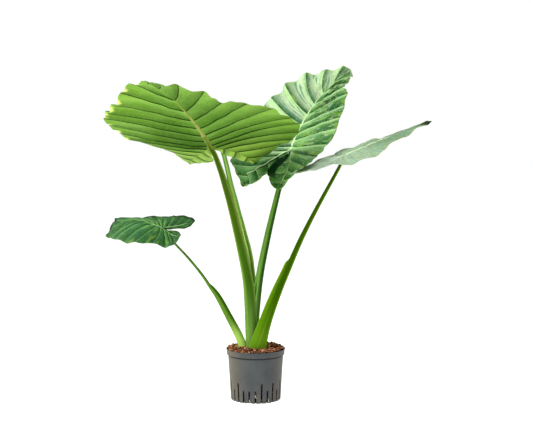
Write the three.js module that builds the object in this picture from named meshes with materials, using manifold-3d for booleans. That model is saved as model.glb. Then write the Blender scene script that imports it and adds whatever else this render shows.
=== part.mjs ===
// Giant taro, Alocasia macrorrhizos, rooted in clay granules in a slotted culture pot.
// Units are millimetres and +Z is up. The origin is the centre of the pot's underside.
// The plant is seen from its front when looking along +Y.
import * as THREE from 'three';
import { ConvexGeometry } from 'three/addons/geometries/ConvexGeometry.js';
import { mergeVertices } from 'three/addons/utils/BufferGeometryUtils.js';
import Module from 'manifold-3d';

const wasm = await Module();
wasm.setup();

// ---------- driving dimensions ----------

const GAP = 0.35; // clear distance between touching pieces
const SEAT_GAP = 0.55; // the same between a stalk's top and its blade, measured along X, Y or Z
const SEAT_REACH = 45; // how far from the stalk's top the blade can come near the stalk

const POT = {
  height: 190,
  rimRadius: 110,
  rimBaseRadius: 106, // the collar's lower edge
  collarHeight: 22,
  neckRadius: 103, // the wall just below the collar
  footRadius: 92.5,
  wall: 2.4,
  floor: 3,
  slots: 26,
  slotWidth: 5.5,
  longSlot: 68,
  shortSlot: 38,
  slotReach: 11, // how far a slot runs in under the floor
};

const POT_SIDES = POT.slots * 2;

const BED = {
  level: 176, // top of the packed bed, between the granules of the top layer
  bottom: 120,
  granules: 72,
  granuleRadius: [8.2, 10.4],
  crown: 5, // how much higher the bed stands at its middle
};

const RHIZOME = {
  radius: 40,
  top: 149,
  shoulder: 128,
  foot: 74,
  centre: [-12, -2],
  roots: 8,
  rootLength: 62,
  rootRadius: [3.4, 4.8],
};

// ---------- blade outline ----------
// A blade is laid out from its skeleton: the midrib, and one basal vein into each lobe.
// Station 0 is the tip and 13 the end of a lobe; 17.5 is the bottom of the notch between the lobes.
// Whole stations are the side veins. Along is in blade lengths, or lobe lengths behind the stalk.

const LAST_STATION = 17.5;
const LOBE_END = 13;
const STALK_STATION = 8.5;
const MIDRIB_ROOTS = [1, 0.8, 0.64, 0.5, 0.375, 0.265, 0.17, 0.09, 0.03];
const LOBE_ROOTS = [1, 0.78, 0.5, 0.25, 0.06, 0]; // along the basal vein, from its end to the stalk
const EDGE_ALONG = [
  1, 0.945, 0.86, 0.755, 0.635, 0.5, 0.355, 0.2, 0.045,
  -0.16, -0.4, -0.64, -0.86, -1, -0.95, -0.74, -0.47, -0.22, 0.02,
];
const EDGE_ACROSS = [
  0, 0.085, 0.25, 0.46, 0.66, 0.82, 0.93, 0.985, 1,
  0.985, 0.935, 0.82, 0.65, 0.42, 0.22, 0.12, 0.065, 0.03, -0.03,
];
const BASAL_BEND = [-0.35, 0.27]; // control point of the basal vein's curve
const BASAL_END = [-0.82, 0.42];
const VEIN_BOW = 0.1; // how far a side vein bows back before it turns to the tip
const SPINE_STEPS = 24;
const WAVE_VEINS = 2.6; // how many side veins one wave of the margin spans

// Each blade: where its stalk meets it, its sizes, and how it is held. Angles are degrees.
// heading and rise are the midrib's at the stalk and at the tip; heading 0 is +X and 90 is +Y.
// Each half has a fold up from the midrib's plane and a curl across its width, given at the
// [tip, stalk, lobe], and its reach (times the outline) and lift (mm) at four places from tip to notch.
// phase is where the margin's wave starts on the left and the right half, in turns.
const BLADES = {
  blade_front_left: {
    stalk: [-163, -47, 934], length: 655, lobe: 310, halfWidth: 325,
    heading: [-101, -111], rise: [24, 18], roll: [24, -3], tipCurl: -26,
    lobeTurn: 10, lobeRise: 24, lobeRoll: -3,
    left: { fold: [0, 11, 18], curl: [-3, -28, 24], reach: [0.69, 1, 1, 0.9], lift: [-4, -25, -15, 50] },
    right: {
      fold: [-2, 33, 17], curl: [-37, -2, 19], reach: [1.07, 1.08, 0.96, 0.85], lift: [5, 20, -8, 30],
    },
    bulge: 7, wave: 9, phase: [0.7, 0.4], rib: 4.5, rows: 5,
  },
  blade_upper_right: {
    stalk: [134, 200, 928], length: 410, lobe: 198, halfWidth: 305,
    heading: [20, 37], rise: [69, 31], roll: [18, 48], tipCurl: -25,
    lobeTurn: 6, lobeRise: 58, lobeRoll: 14,
    left: {
      fold: [-13, 8, -5], curl: [-47, 6, 5], reach: [0.95, 0.84, 1.1, 0.95], lift: [4, -60, 5, 60],
    },
    right: { fold: [8, 21, 13], curl: [1, 2, 36], reach: [0.7, 0.7, 1, 0.9], lift: [5, -45, 0, 50] },
    bulge: 5, wave: 9, phase: [0.86, 0.1], rib: 3.5, rows: 5,
  },
  blade_right: {
    stalk: [319, -18, 906], length: 345, lobe: 175, halfWidth: 175,
    heading: [-4, -26], rise: [23, 20], roll: [9, 20], tipCurl: 0,
    lobeTurn: -13, lobeRise: 15, lobeRoll: 9,
    left: { fold: [-1, -2, 2], curl: [-2, 1, 0], reach: [0.6, 0.85, 1, 1], lift: [-12, -4, 0, 0] },
    right: { fold: [-6, -1, 1], curl: [-4, -2, 3], reach: [0.9, 0.95, 0.9, 1], lift: [0, -5, 5, -5] },
    bulge: 3.5, wave: 5, phase: [0, 0.7], rib: 3, rows: 4,
  },
  blade_left_small: {
    stalk: [-347, -4, 641], length: 225, lobe: 105, halfWidth: 125,
    heading: [203, 186], rise: [24, -38], roll: [-21, -18], tipCurl: -8,
    lobeTurn: -45, lobeRise: -10, lobeRoll: -22,
    left: { fold: [-16, -8, 6], curl: [3, -5, 6], reach: [1.15, 1, 1, 0.9], lift: [-5, 0, 0, 5] },
    right: { fold: [-8, -3, 10], curl: [-15, -3, 2], reach: [1, 0.9, 1, 1.05], lift: [5, -5, 5, 0] },
    bulge: 2.5, wave: 4, phase: [0.5, 0.2], rib: 2.2, rows: 4,
  },
  blade_back: {
    stalk: [-168, 304, 985], length: 270, lobe: 140, halfWidth: 126,
    heading: [122, 108], rise: [-4, -16], roll: [0, 6], tipCurl: 0,
    lobeTurn: 4, lobeRise: -2, lobeRoll: 0,
    left: { fold: [6, 9, 5], curl: [-18, -16, -4], reach: [1, 1, 1, 1], lift: [0, 0, 0, 0] },
    right: { fold: [6, 9, 5], curl: [-18, -16, -4], reach: [1, 1, 1, 1], lift: [0, 0, 0, 0] },
    bulge: 3, wave: 4, phase: [0.8, 0.5], rib: 2.8, rows: 3,
  },
};
const BLADE_HALF_THICKNESS = 0.6;
const TIP_CURL_FROM = 0.75; // where along the midrib a rolled tip starts to turn

// ---------- stalks ----------
// Stations from the rhizome up: [x, y, z, half width along X, half depth along Y].
// The sheath is a thin wing on the stalk's inner side: [direction it faces in degrees, tip height, width].
const STALKS = {
  petiole_upper_right: {
    stations: [
      [-6, 22, 149.5, 19, 17], [-7, 26, 200, 18.5, 17], [-7, 42, 254, 17.5, 16],
      [12, 94, 434, 15, 14], [45, 152, 598, 13, 12.5], [85, 214, 760, 10.5, 10.5],
      [109, 247, 850, 9, 9], [134, 244, 908, 8, 8], [138, 213, 930, 7.5, 7.5],
      [123, 186, 942, 7, 7],
    ],
    sheath: [235, 480, 11],
  },
  petiole_back: {
    stations: [
      [-16, 46, 149.5, 18, 16], [-16, 50, 200, 17.5, 16], [-15, 78, 330, 16, 15.5],
      [-31, 131, 504, 15, 15], [-52, 168, 601, 14, 14], [-78, 209, 711, 12, 12.5],
      [-99, 241, 788, 10.5, 11], [-128, 283, 904, 8.5, 9], [-160, 302, 972, 7.5, 7.5],
      [-174, 308, 1000, 7, 7],
    ],
    sheath: [200, 672, 8],
  },
  petiole_front_left: {
    stations: [
      [-15, -7, 149.5, 21, 19], [-15, -8, 202, 22, 20], [-21, -17, 372, 21.5, 20],
      [-33, -25, 481, 20.5, 19.5], [-76, -38, 681, 17, 17], [-115, -45, 818, 12.5, 13],
      [-138, -47, 883, 9.8, 10.5], [-156, -49, 930, 8.8, 9.5], [-166, -52, 965, 8.5, 9],
    ],
    sheath: [60, 520, 8],
  },
  petiole_left_small: {
    stations: [
      [-43, -4, 149.5, 16, 15], [-48, -4, 194, 15.5, 15], [-65, -3, 240, 14.5, 14],
      [-102, -2, 310, 12, 12.5], [-140, -1, 380, 9.5, 10.5], [-169, 0, 420, 6.5, 7],
      [-198, 0, 463, 5.3, 6], [-248, 0, 525, 4.6, 5], [-298, -1, 579, 4.2, 4.6],
      [-336, -3, 620, 3.8, 4.2], [-349, -4, 646, 3.6, 4], [-355, -5, 664, 3.6, 4],
    ],
    sheath: [20, 428, 4],
  },
  petiole_right: {
    stations: [
      [8, -32, 149.5, 34, 22], [9, -34, 203, 32, 22], [37, -32, 292, 22, 18],
      [79, -28, 400, 16.5, 14], [119, -25, 490, 12.5, 12], [168, -21, 601, 10, 10.5],
      [226, -19, 715, 8, 9.5], [291, -18, 834, 6.8, 7.3], [315, -18, 880, 6.2, 6.5],
      [337, -17, 930, 6, 6],
    ],
    sheath: [170, 520, 10],
  },
};
const STALK_SIDES = 10;

// ---------- colours ----------
const finish = (color, roughness) => new THREE.MeshStandardMaterial({ color, roughness, metalness: 0 });
const UNDERSIDE_GREEN = finish(0x6fa62e, 0.55);
const UPPER_GREEN = finish(0x4f8a4a, 0.4);
const PALE_GREEN = finish(0x9db89a, 0.4);
const DARK_GREEN = finish(0x2f6b33, 0.4);
const STALK_GREEN = finish(0x7c9a2e, 0.5);
const ROOT_TAN = finish(0xb89b78, 0.8);
const CLAY_RED = finish(0x8a4a33, 0.9);
const POT_GREY = finish(0x63686b, 0.6);

// ---------- small helpers ----------

// Seeded random numbers in 0..1, so that every build is the same.
function seeded(seed) {
  let state = seed;
  return () => {
    state = (state * 1664525 + 1013904223) % 4294967296;
    return state / 4294967296;
  };
}

const radians = (degrees) => (degrees * Math.PI) / 180;
const mix = (from, to, share) => from + (to - from) * share;
const clamp = (value, low, high) => Math.min(Math.max(value, low), high);

// A smooth curve (Catmull-Rom) through evenly spaced values, read at place 0..n-1.
function through(values, place) {
  const last = values.length - 1;
  const at = clamp(place, 0, last);
  const i = Math.min(Math.floor(at), last - 1);
  const f = at - i;
  const before = values[Math.max(i - 1, 0)];
  const start = values[i];
  const end = values[i + 1];
  const after = values[Math.min(i + 2, last)];
  const linear = end - before;
  const square = 2 * before - 5 * start + 4 * end - after;
  const cubic = 3 * start - before - 3 * end + after;
  return 0.5 * (2 * start + linear * f + square * f * f + cubic * f ** 3);
}

// Straight interpolation through evenly spaced values.
function between(values, place) {
  const at = clamp(place, 0, values.length - 1);
  const i = Math.min(Math.floor(at), values.length - 2);
  return mix(values[i], values[i + 1], at - i);
}

const bezier = (p0, p1, p2, t) => (1 - t) ** 2 * p0 + 2 * t * (1 - t) * p1 + t * t * p2;

function toSolid(positions, triangles) {
  return new wasm.Manifold(
    new wasm.Mesh({
      numProp: 3,
      vertProperties: new Float32Array(positions.flat()),
      triVerts: new Uint32Array(triangles.flat()),
    }),
  );
}

function geometryToSolid(geometry) {
  const bare = geometry.clone();
  bare.deleteAttribute('normal');
  bare.deleteAttribute('uv');
  const merged = mergeVertices(bare, 1e-3);
  return new wasm.Manifold(
    new wasm.Mesh({
      numProp: 3,
      vertProperties: new Float32Array(merged.attributes.position.array),
      triVerts: new Uint32Array(merged.index.array),
    }),
  );
}

function toMesh(solid, name, material) {
  const { vertProperties, triVerts } = solid.getMesh();
  const geometry = new THREE.BufferGeometry();
  geometry.setAttribute('position', new THREE.BufferAttribute(new Float32Array(vertProperties), 3));
  geometry.setIndex(new THREE.BufferAttribute(new Uint32Array(triVerts), 1));
  geometry.computeVertexNormals();
  const mesh = new THREE.Mesh(geometry, material);
  mesh.name = name;
  return mesh;
}

// Boolean cuts can leave scraps: the largest piece is the part.
function largestPiece(solid) {
  return solid.decompose().reduce((best, piece) => (piece.volume() > best.volume() ? piece : best));
}

// ---------- blades ----------

// The flat place of a skeleton-to-margin point, as [along, across] in shares of the blade's sizes.
function outlinePoint(station, outward, reach) {
  const beyond = Math.abs(station - LOBE_END);
  const onMidrib = station <= 8;
  const basal = station >= STALK_STATION ? between(LOBE_ROOTS, lobeRootPlace(beyond)) : 0;
  const rootAlong = onMidrib
    ? between(MIDRIB_ROOTS, station)
    : station < STALK_STATION
      ? mix(MIDRIB_ROOTS[8], 0, (station - 8) * 2)
      : bezier(0, BASAL_BEND[0], BASAL_END[0], basal);
  const rootAcross = bezier(0, BASAL_BEND[1], BASAL_END[1], basal);
  const stretch = through([1, ...reach, 1], (station / LAST_STATION) * 5);
  const edgeAlong = rootAlong + (through(EDGE_ALONG, station) - rootAlong) * stretch;
  const closing = clamp((LAST_STATION - station) * 2, 0, 1); // both halves meet at the notch's bottom
  const edgeAcross = closing * (rootAcross + (through(EDGE_ACROSS, station) - rootAcross) * stretch);
  const bowed = clamp(station, 0, 1) * clamp((LOBE_END - station) / 5, -0.3, 1);
  const bow = VEIN_BOW * bowed * Math.abs(edgeAcross - rootAcross);
  return [
    bezier(rootAlong, (rootAlong + edgeAlong) / 2 - bow, edgeAlong, outward),
    bezier(rootAcross, (rootAcross + edgeAcross) / 2, edgeAcross, outward),
  ];
}

// Stations 13, 12, 11, 10, 9, 8.5 and their mirror images 14 ... 17.5 share roots on the basal vein.
const lobeRootPlace = (beyond) => (beyond <= 4 ? beyond : 4 + (beyond - 4) * 2);

function directions(heading, rise, roll) {
  const along = new THREE.Vector3(
    Math.cos(rise) * Math.cos(heading),
    Math.cos(rise) * Math.sin(heading),
    Math.sin(rise),
  );
  const level = new THREE.Vector3(-Math.sin(heading), Math.cos(heading), 0);
  const upright = new THREE.Vector3().crossVectors(along, level);
  const across = level.clone().multiplyScalar(Math.cos(roll)).addScaledVector(upright, Math.sin(roll));
  const up = upright.clone().multiplyScalar(Math.cos(roll)).addScaledVector(level, -Math.sin(roll));
  return { along, across, up };
}

// The bent midrib line, from the lobes' end (-1) through the stalk (0) to the tip (1).
function spineOf(blade) {
  const frontFrame = (share) => {
    const curled = blade.tipCurl * clamp((share - TIP_CURL_FROM) / (1 - TIP_CURL_FROM), 0, 1);
    return directions(
      radians(mix(...blade.heading, share)),
      radians(mix(...blade.rise, share) + curled),
      radians(mix(...blade.roll, share)),
    );
  };
  const backFrame = (share) =>
    directions(
      radians(blade.heading[0] + blade.lobeTurn * share),
      radians(mix(blade.rise[0], blade.lobeRise, share)),
      radians(mix(blade.roll[0], blade.lobeRoll, share)),
    );
  const walk = (frameAt, step) => {
    const place = new THREE.Vector3(...blade.stalk);
    const stops = [{ place: place.clone(), ...frameAt(0) }];
    for (let i = 1; i <= SPINE_STEPS; i += 1) {
      place.addScaledVector(frameAt((i - 0.5) / SPINE_STEPS).along, step);
      stops.push({ place: place.clone(), ...frameAt(i / SPINE_STEPS) });
    }
    return stops;
  };
  const front = walk(frontFrame, blade.length / SPINE_STEPS);
  const back = walk(backFrame, -blade.lobe / SPINE_STEPS);
  return (share) => {
    const stops = share >= 0 ? front : back;
    const at = clamp(Math.abs(share), 0, 1) * SPINE_STEPS;
    const i = Math.min(Math.floor(at), SPINE_STEPS - 1);
    const blend = (key) => stops[i][key].clone().lerp(stops[i + 1][key], at - i);
    return { place: blend('place'), across: blend('across'), up: blend('up') };
  };
}

// A point of the blade's middle surface. side is +1 for the left half and -1 for the right.
function bladePoint(blade, spine, side, station, outward) {
  const half = side > 0 ? blade.left : blade.right;
  const [along, across] = outlinePoint(station, outward, half.reach);
  const { place, across: sideways, up } = spine(along);
  const toTip = clamp(along, 0, 1);
  const toLobe = clamp(-along, 0, 1);
  const pick = ([tip, stalk, lobe]) => radians(stalk + (tip - stalk) * toTip + (lobe - stalk) * toLobe);
  const fold = pick(half.fold);
  const curl = pick(half.curl) * across;
  const steps = 8;
  let out = 0;
  let raised = 0;
  for (let i = 0; i < steps; i += 1) {
    const angle = fold + (curl * (i + 0.5)) / steps;
    out += (Math.cos(angle) * across * blade.halfWidth) / steps;
    raised += (Math.sin(angle) * across * blade.halfWidth) / steps;
  }
  const lift = through([0, ...half.lift, 0], (station / LAST_STATION) * 5) * outward ** 2;
  return place
    .clone()
    .addScaledVector(sideways, side * out)
    .addScaledVector(up, raised + lift + ripple(blade, side, station, outward));
}

// Panels between the veins bulge upward, and the margin waves a little out of step with them.
function ripple(blade, side, station, outward) {
  const nearEnds = clamp(station, 0, 1) * clamp(LAST_STATION - station, 0, 1);
  const panel = blade.bulge * Math.sin(Math.PI * station) ** 2 * Math.sin(Math.PI * outward ** 0.8);
  const swing = Math.sin(2 * Math.PI * (station / WAVE_VEINS + blade.phase[side > 0 ? 0 : 1]));
  return nearEnds * (panel + blade.wave * swing * outward ** 3);
}

// The upper and under faces of a blade, triangulated alike, with ribs standing out below.
function bladeFaces(blade) {
  const { points, ribs, triangles } = bladeSheet(blade);
  const normals = points.map(() => new THREE.Vector3());
  const edge = new THREE.Vector3();
  for (const [a, b, c] of triangles) {
    const face = new THREE.Vector3().subVectors(points[b], points[a]);
    face.cross(edge.subVectors(points[c], points[a]));
    for (const corner of [a, b, c]) {
      normals[corner].add(face);
    }
  }
  normals.forEach((normal) => normal.normalize());
  const shifted = (i, distance) => points[i].clone().addScaledVector(normals[i], distance).toArray();
  const top = points.map((_, i) => shifted(i, BLADE_HALF_THICKNESS));
  const bottom = points.map((_, i) => shifted(i, -BLADE_HALF_THICKNESS - ribs[i]));
  return { top, bottom, triangles };
}

// Closes the two faces round the margin.
function closedBlade({ top, bottom, triangles }) {
  const count = top.length;
  const solid = [];
  const open = new Map();
  for (const [a, b, c] of triangles) {
    solid.push([a, b, c], [a + count, c + count, b + count]);
    for (const [from, to] of [[a, b], [b, c], [c, a]]) {
      if (!open.delete(`${to},${from}`)) {
        open.set(`${from},${to}`, [from, to]);
      }
    }
  }
  for (const [from, to] of open.values()) {
    solid.push([from, from + count, to + count], [from, to + count, to]);
  }
  return toSolid([...top, ...bottom], solid);
}

// Rows out from the skeleton: a narrow one beside the rib, then even ones to the margin.
function rowPlaces(rows) {
  const beside = 0.04;
  const even = Array.from({ length: rows - 1 }, (_, i) => mix(beside, 1, (i + 1) / (rows - 1)));
  return [0, beside, ...even];
}

// The blade's middle surface as a net of triangles, with the height of the rib under each point.
function bladeSheet(blade) {
  const spine = spineOf(blade);
  const points = [];
  const ribs = [];
  const known = new Map();
  const pointIndex = (side, station, outward) => {
    const point = bladePoint(blade, spine, side, station, outward);
    const key = point.toArray().map((value) => Math.round(value * 20)).join(',');
    if (!known.has(key)) {
      known.set(key, points.length);
      points.push(point);
      ribs.push(ribHeight(blade, station, outward));
    }
    return known.get(key);
  };
  const triangles = [];
  const addTriangle = (a, b, c) => {
    if (a !== b && b !== c && c !== a) {
      triangles.push([a, b, c]);
    }
  };
  const rows = rowPlaces(blade.rows);
  for (const side of [1, -1]) {
    for (let station = 0; station < LAST_STATION; station += 0.5) {
      for (let row = 0; row < rows.length - 1; row += 1) {
        const inner = pointIndex(side, station, rows[row]);
        const outer = pointIndex(side, station, rows[row + 1]);
        const nextInner = pointIndex(side, station + 0.5, rows[row]);
        const nextOuter = pointIndex(side, station + 0.5, rows[row + 1]);
        if (side > 0) {
          addTriangle(inner, outer, nextOuter);
          addTriangle(inner, nextOuter, nextInner);
        } else {
          addTriangle(inner, nextOuter, outer);
          addTriangle(inner, nextInner, nextOuter);
        }
      }
    }
  }
  return { points, ribs, triangles };
}

// The midrib and the side veins stand out of the underside.
function ribHeight(blade, station, outward) {
  if (outward === 0) {
    return blade.rib * clamp(station / STALK_STATION, 0.15, 1);
  }
  const onVein = Number.isInteger(station) ? 1 : 0;
  return onVein * 0.25 * blade.rib * (1 - outward);
}

// ---------- stalks ----------

function stalkSection(stalk, place) {
  const column = (k) => stalk.stations.map((station) => station[k]);
  return [0, 1, 2, 3, 4].map((k) => through(column(k), place));
}

// The direction of growth at a place along the stalk. The foot stands square on the rhizome.
function stalkDirection(stalk, place) {
  const [from, to] = [stalkSection(stalk, place - 0.1), stalkSection(stalk, place + 0.1)];
  const growth = new THREE.Vector3(to[0] - from[0], to[1] - from[1], to[2] - from[2]).normalize();
  return place === 0 ? new THREE.Vector3(0, 0, 1) : growth;
}

// Cuts a stalk off square below its blade, and clears whatever of the blade dips beside it.
function seatStalk(solid, blade, { top, bottom, triangles }) {
  const seat = new THREE.Vector3(...blade.stalk);
  const { up } = spineOf(blade)(0);
  const below = BLADE_HALF_THICKNESS + blade.rib + GAP;
  const square = solid.trimByPlane(up.clone().negate().toArray(), below - up.dot(seat));
  const near = triangles.filter(([a]) => seat.distanceTo(new THREE.Vector3(...bottom[a])) < SEAT_REACH);
  const rooms = near.map((corners) => roomAround(corners.flatMap((i) => [top[i], bottom[i]]), SEAT_GAP));
  return largestPiece(rooms.reduce((rest, room) => rest.subtract(room), square));
}

// The convex block round a few points, grown by a gap.
function roomAround(points, gap) {
  const axes = [new THREE.Vector3(gap, 0, 0), new THREE.Vector3(0, gap, 0), new THREE.Vector3(0, 0, gap)];
  const steps = axes.flatMap((axis) => [axis, axis.clone().negate()]);
  const grown = points.flatMap(([x, y, z]) => steps.map((step) => new THREE.Vector3(x, y, z).add(step)));
  return geometryToSolid(new ConvexGeometry(grown));
}

function stalkSolid(stalk, extra = 0) {
  const [facing, tipHeight, wing] = stalk.sheath;
  const steps = (stalk.stations.length - 1) * 2;
  const positions = [];
  const triangles = [];
  for (let i = 0; i <= steps; i += 1) {
    const [x, y, z, halfWidth, halfDepth] = stalkSection(stalk, i / 2);
    const growth = stalkDirection(stalk, i / 2);
    const depthwise = new THREE.Vector3(0, 1, 0).addScaledVector(growth, -growth.y).normalize();
    const widthwise = new THREE.Vector3().crossVectors(depthwise, growth);
    const centre = new THREE.Vector3(x, y, i === 0 ? z - 2 * extra : z);
    // The wing stands out below the sheath's tip and ends there.
    const winged = wing * clamp((tipHeight - z) / 25, 0, 1) * clamp((z - 180) / 120, 0, 1);
    for (let k = 0; k < STALK_SIDES; k += 1) {
      const angle = radians(facing) + (2 * Math.PI * k) / STALK_SIDES;
      const stretch = (k === 0 ? winged : 0) + extra;
      const point = centre
        .clone()
        .addScaledVector(widthwise, Math.cos(angle) * (halfWidth + stretch))
        .addScaledVector(depthwise, Math.sin(angle) * (halfDepth + stretch));
      positions.push(point.toArray());
    }
  }
  const ringStart = (i) => i * STALK_SIDES;
  for (let i = 0; i < steps; i += 1) {
    for (let k = 0; k < STALK_SIDES; k += 1) {
      const next = (k + 1) % STALK_SIDES;
      const [a, b] = [ringStart(i) + k, ringStart(i) + next];
      const [c, d] = [ringStart(i + 1) + k, ringStart(i + 1) + next];
      triangles.push([a, b, d], [a, d, c]);
    }
  }
  for (let k = 1; k < STALK_SIDES - 1; k += 1) {
    triangles.push([0, k + 1, k], [ringStart(steps), ringStart(steps) + k, ringStart(steps) + k + 1]);
  }
  return toSolid(positions, triangles);
}

// ---------- rhizome ----------

// The stub of stem that the leaves grow from, with thick roots spreading down into the granules.
function rhizomeSolid(extra = 0) {
  const { radius, top, shoulder, foot, centre, roots, rootLength, rootRadius } = RHIZOME;
  const profile = [
    [0, foot - extra], [radius * 0.45 + extra, foot + 4 - extra], [radius * 0.8 + extra, foot + 22],
    [radius + extra, shoulder], [radius * 1.05 + extra, top + extra], [0, top + extra],
  ].map(([r, z]) => new THREE.Vector2(r, z));
  const stub = new THREE.LatheGeometry(profile, 14);
  stub.rotateX(Math.PI / 2);
  stub.translate(centre[0], centre[1], 0);
  let solid = geometryToSolid(stub);
  const random = seeded(7);
  const aside = (turn, distance, z) =>
    new THREE.Vector3(centre[0] + Math.cos(turn) * distance, centre[1] + Math.sin(turn) * distance, z);
  for (let i = 0; i < roots; i += 1) {
    const turn = (2 * Math.PI * (i + 0.4 * random())) / roots;
    const startHeight = foot + 26 + 14 * random();
    const drop = rootLength * (0.8 + 0.4 * random());
    const elbow = aside(turn, radius + 16, startHeight - 14);
    const end = aside(turn, radius + 28, startHeight - drop);
    end.addScaledVector(end.clone().sub(elbow).normalize(), 3 * extra);
    const curve = new THREE.CatmullRomCurve3([aside(turn, radius * 0.6, startHeight), elbow, end]);
    const section = new THREE.Shape();
    section.absarc(0, 0, mix(...rootRadius, random()) + 1.2 * extra, 0, 2 * Math.PI, false);
    const options = { steps: 4, curveSegments: 3, bevelEnabled: false, extrudePath: curve };
    solid = solid.add(geometryToSolid(new THREE.ExtrudeGeometry(section, options)));
  }
  return solid;
}

// ---------- pot ----------

function potSolid() {
  const { height, rimRadius, rimBaseRadius, collarHeight, neckRadius, footRadius, wall, floor } = POT;
  const collarZ = height - collarHeight;
  const profile = [
    [0, 0], [footRadius - 1.5, 0], [footRadius, 1.5], [neckRadius, collarZ], [rimBaseRadius, collarZ + 0.8],
    [rimRadius - 1.2, height - 3.4], [rimRadius, height - 2.8], [rimRadius - 0.4, height],
    [rimRadius - wall, height], [neckRadius - wall + 2, collarZ + 3], [neckRadius - wall, collarZ],
    [footRadius - wall, floor], [0, floor],
  ].map(([r, z]) => new THREE.Vector2(r, z));
  const shell = new THREE.LatheGeometry(profile, POT_SIDES);
  shell.rotateX(Math.PI / 2);
  let pot = geometryToSolid(shell);
  for (let i = 0; i < POT.slots; i += 1) {
    pot = pot.subtract(slotCutter(i));
  }
  return pot;
}

// Slots alternate long and short, and turn in under the floor at the foot.
function slotCutter(index) {
  const top = index % 2 ? POT.longSlot : POT.shortSlot;
  const depth = POT.slotReach + 12;
  const cutter = new THREE.BoxGeometry(depth, POT.slotWidth, top + 2);
  cutter.translate(POT.footRadius - POT.slotReach + depth / 2, 0, (top + 2) / 2 - 2);
  cutter.rotateZ((2 * Math.PI * index) / POT.slots - Math.PI / 2);
  return geometryToSolid(cutter);
}

// ---------- clay granules ----------

// One body: the packed bed, with a crowded top layer of round granules that stand out of it.
function granuleSolid(cutters) {
  const { level, bottom, granules, granuleRadius, crown } = BED;
  const wallTop = POT.height - POT.collarHeight;
  const wallShare = (z) => clamp((z - POT.floor) / (wallTop - POT.floor), 0, 1);
  const flatOfWall = Math.cos(Math.PI / POT_SIDES); // the wall's flat sides stand this much nearer
  const bedRadius = (z) => flatOfWall * (mix(POT.footRadius, POT.neckRadius, wallShare(z)) - POT.wall) - GAP;
  const floorZ = POT.floor + GAP;
  const profile = [
    [0, floorZ], [bedRadius(floorZ), floorZ], [bedRadius(bottom), bottom],
    [bedRadius(level) - 0.5, level - 6], [bedRadius(level) - 5, level - 1],
    [55, level + crown * 0.6], [0, level + crown],
  ].map(([r, z]) => new THREE.Vector2(r, z));
  const bed = new THREE.LatheGeometry(profile, 30);
  bed.rotateX(Math.PI / 2);
  let solid = geometryToSolid(bed);
  const random = seeded(23);
  const spread = Math.PI * (3 - Math.sqrt(5)); // the even spacing of a sunflower's seeds
  for (let i = 0; i < granules; i += 1) {
    const radius = mix(...granuleRadius, random());
    const out = (POT.neckRadius - POT.wall - granuleRadius[1] - 1) * Math.sqrt((i + 0.5) / granules);
    const turn = i * spread + 0.25 * random();
    const ball = new THREE.IcosahedronGeometry(radius, 0);
    ball.rotateX(random() * 3);
    ball.rotateY(random() * 3);
    const rise = crown * (1 - (out / 100) ** 2) + 3 * random();
    ball.translate(Math.cos(turn) * out, Math.sin(turn) * out, level + rise - 1);
    solid = solid.add(geometryToSolid(ball));
  }
  for (const cutter of cutters) {
    solid = solid.subtract(cutter);
  }
  return largestPiece(solid);
}

// ---------- the plant in its pot ----------

const BLADE_OF_STALK = {
  petiole_upper_right: 'blade_upper_right',
  petiole_back: 'blade_back',
  petiole_front_left: 'blade_front_left',
  petiole_left_small: 'blade_left_small',
  petiole_right: 'blade_right',
};
const BLADE_FINISH = {
  blade_front_left: UNDERSIDE_GREEN,
  blade_upper_right: UPPER_GREEN,
  blade_right: PALE_GREEN,
  blade_left_small: DARK_GREEN,
  blade_back: UPPER_GREEN,
};

const plant = new THREE.Group();

// Inner stalks first: each later one wraps round those before it, and all stop just under their blades.
const stalkRooms = [];
for (const [name, stalk] of Object.entries(STALKS)) {
  const bladeName = BLADE_OF_STALK[name];
  const blade = BLADES[bladeName];
  const faces = bladeFaces(blade);
  const wrapped = stalkRooms.reduce((rest, room) => rest.subtract(room), stalkSolid(stalk));
  stalkRooms.push(stalkSolid(stalk, GAP));
  const leaf = new THREE.Group();
  leaf.add(toMesh(closedBlade(faces), bladeName, BLADE_FINISH[bladeName]));
  leaf.add(toMesh(seatStalk(wrapped, blade, faces), name, STALK_GREEN));
  plant.add(leaf);
}

plant.add(toMesh(rhizomeSolid(), 'rhizome', ROOT_TAN));
plant.add(toMesh(granuleSolid([...stalkRooms, rhizomeSolid(2 * GAP)]), 'clay_granules', CLAY_RED));
plant.add(toMesh(potSolid(), 'culture_pot', POT_GREY));

export default plant;
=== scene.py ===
"""Giant taro in its culture pot: the looks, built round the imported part.

Blender works in metres. Sizes below are in millimetres, and MM turns them into metres where a mesh is made.
The leaf forms repeat the part's own formulas and sizes on a much finer net, and add what a leaf shows up
close: raised ribs, sunken veins, crinkled panels and a wavy, nicked margin.
"""

import math

import bmesh
import bpy
import numpy as np
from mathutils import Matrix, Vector


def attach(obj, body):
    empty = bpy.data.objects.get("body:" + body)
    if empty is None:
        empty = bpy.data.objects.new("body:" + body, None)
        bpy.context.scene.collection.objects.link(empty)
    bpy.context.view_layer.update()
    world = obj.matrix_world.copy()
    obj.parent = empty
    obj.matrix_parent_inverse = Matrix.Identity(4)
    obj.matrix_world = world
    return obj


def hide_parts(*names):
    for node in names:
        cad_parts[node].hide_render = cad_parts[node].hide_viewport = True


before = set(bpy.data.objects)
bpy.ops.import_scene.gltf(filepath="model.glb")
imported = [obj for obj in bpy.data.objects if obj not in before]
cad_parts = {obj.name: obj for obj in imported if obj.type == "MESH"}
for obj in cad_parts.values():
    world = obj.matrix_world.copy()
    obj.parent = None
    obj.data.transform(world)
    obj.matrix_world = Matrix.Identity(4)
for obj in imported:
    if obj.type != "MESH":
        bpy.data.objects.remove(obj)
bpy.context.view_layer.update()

MM = 0.001
BODY = "root"

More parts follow.
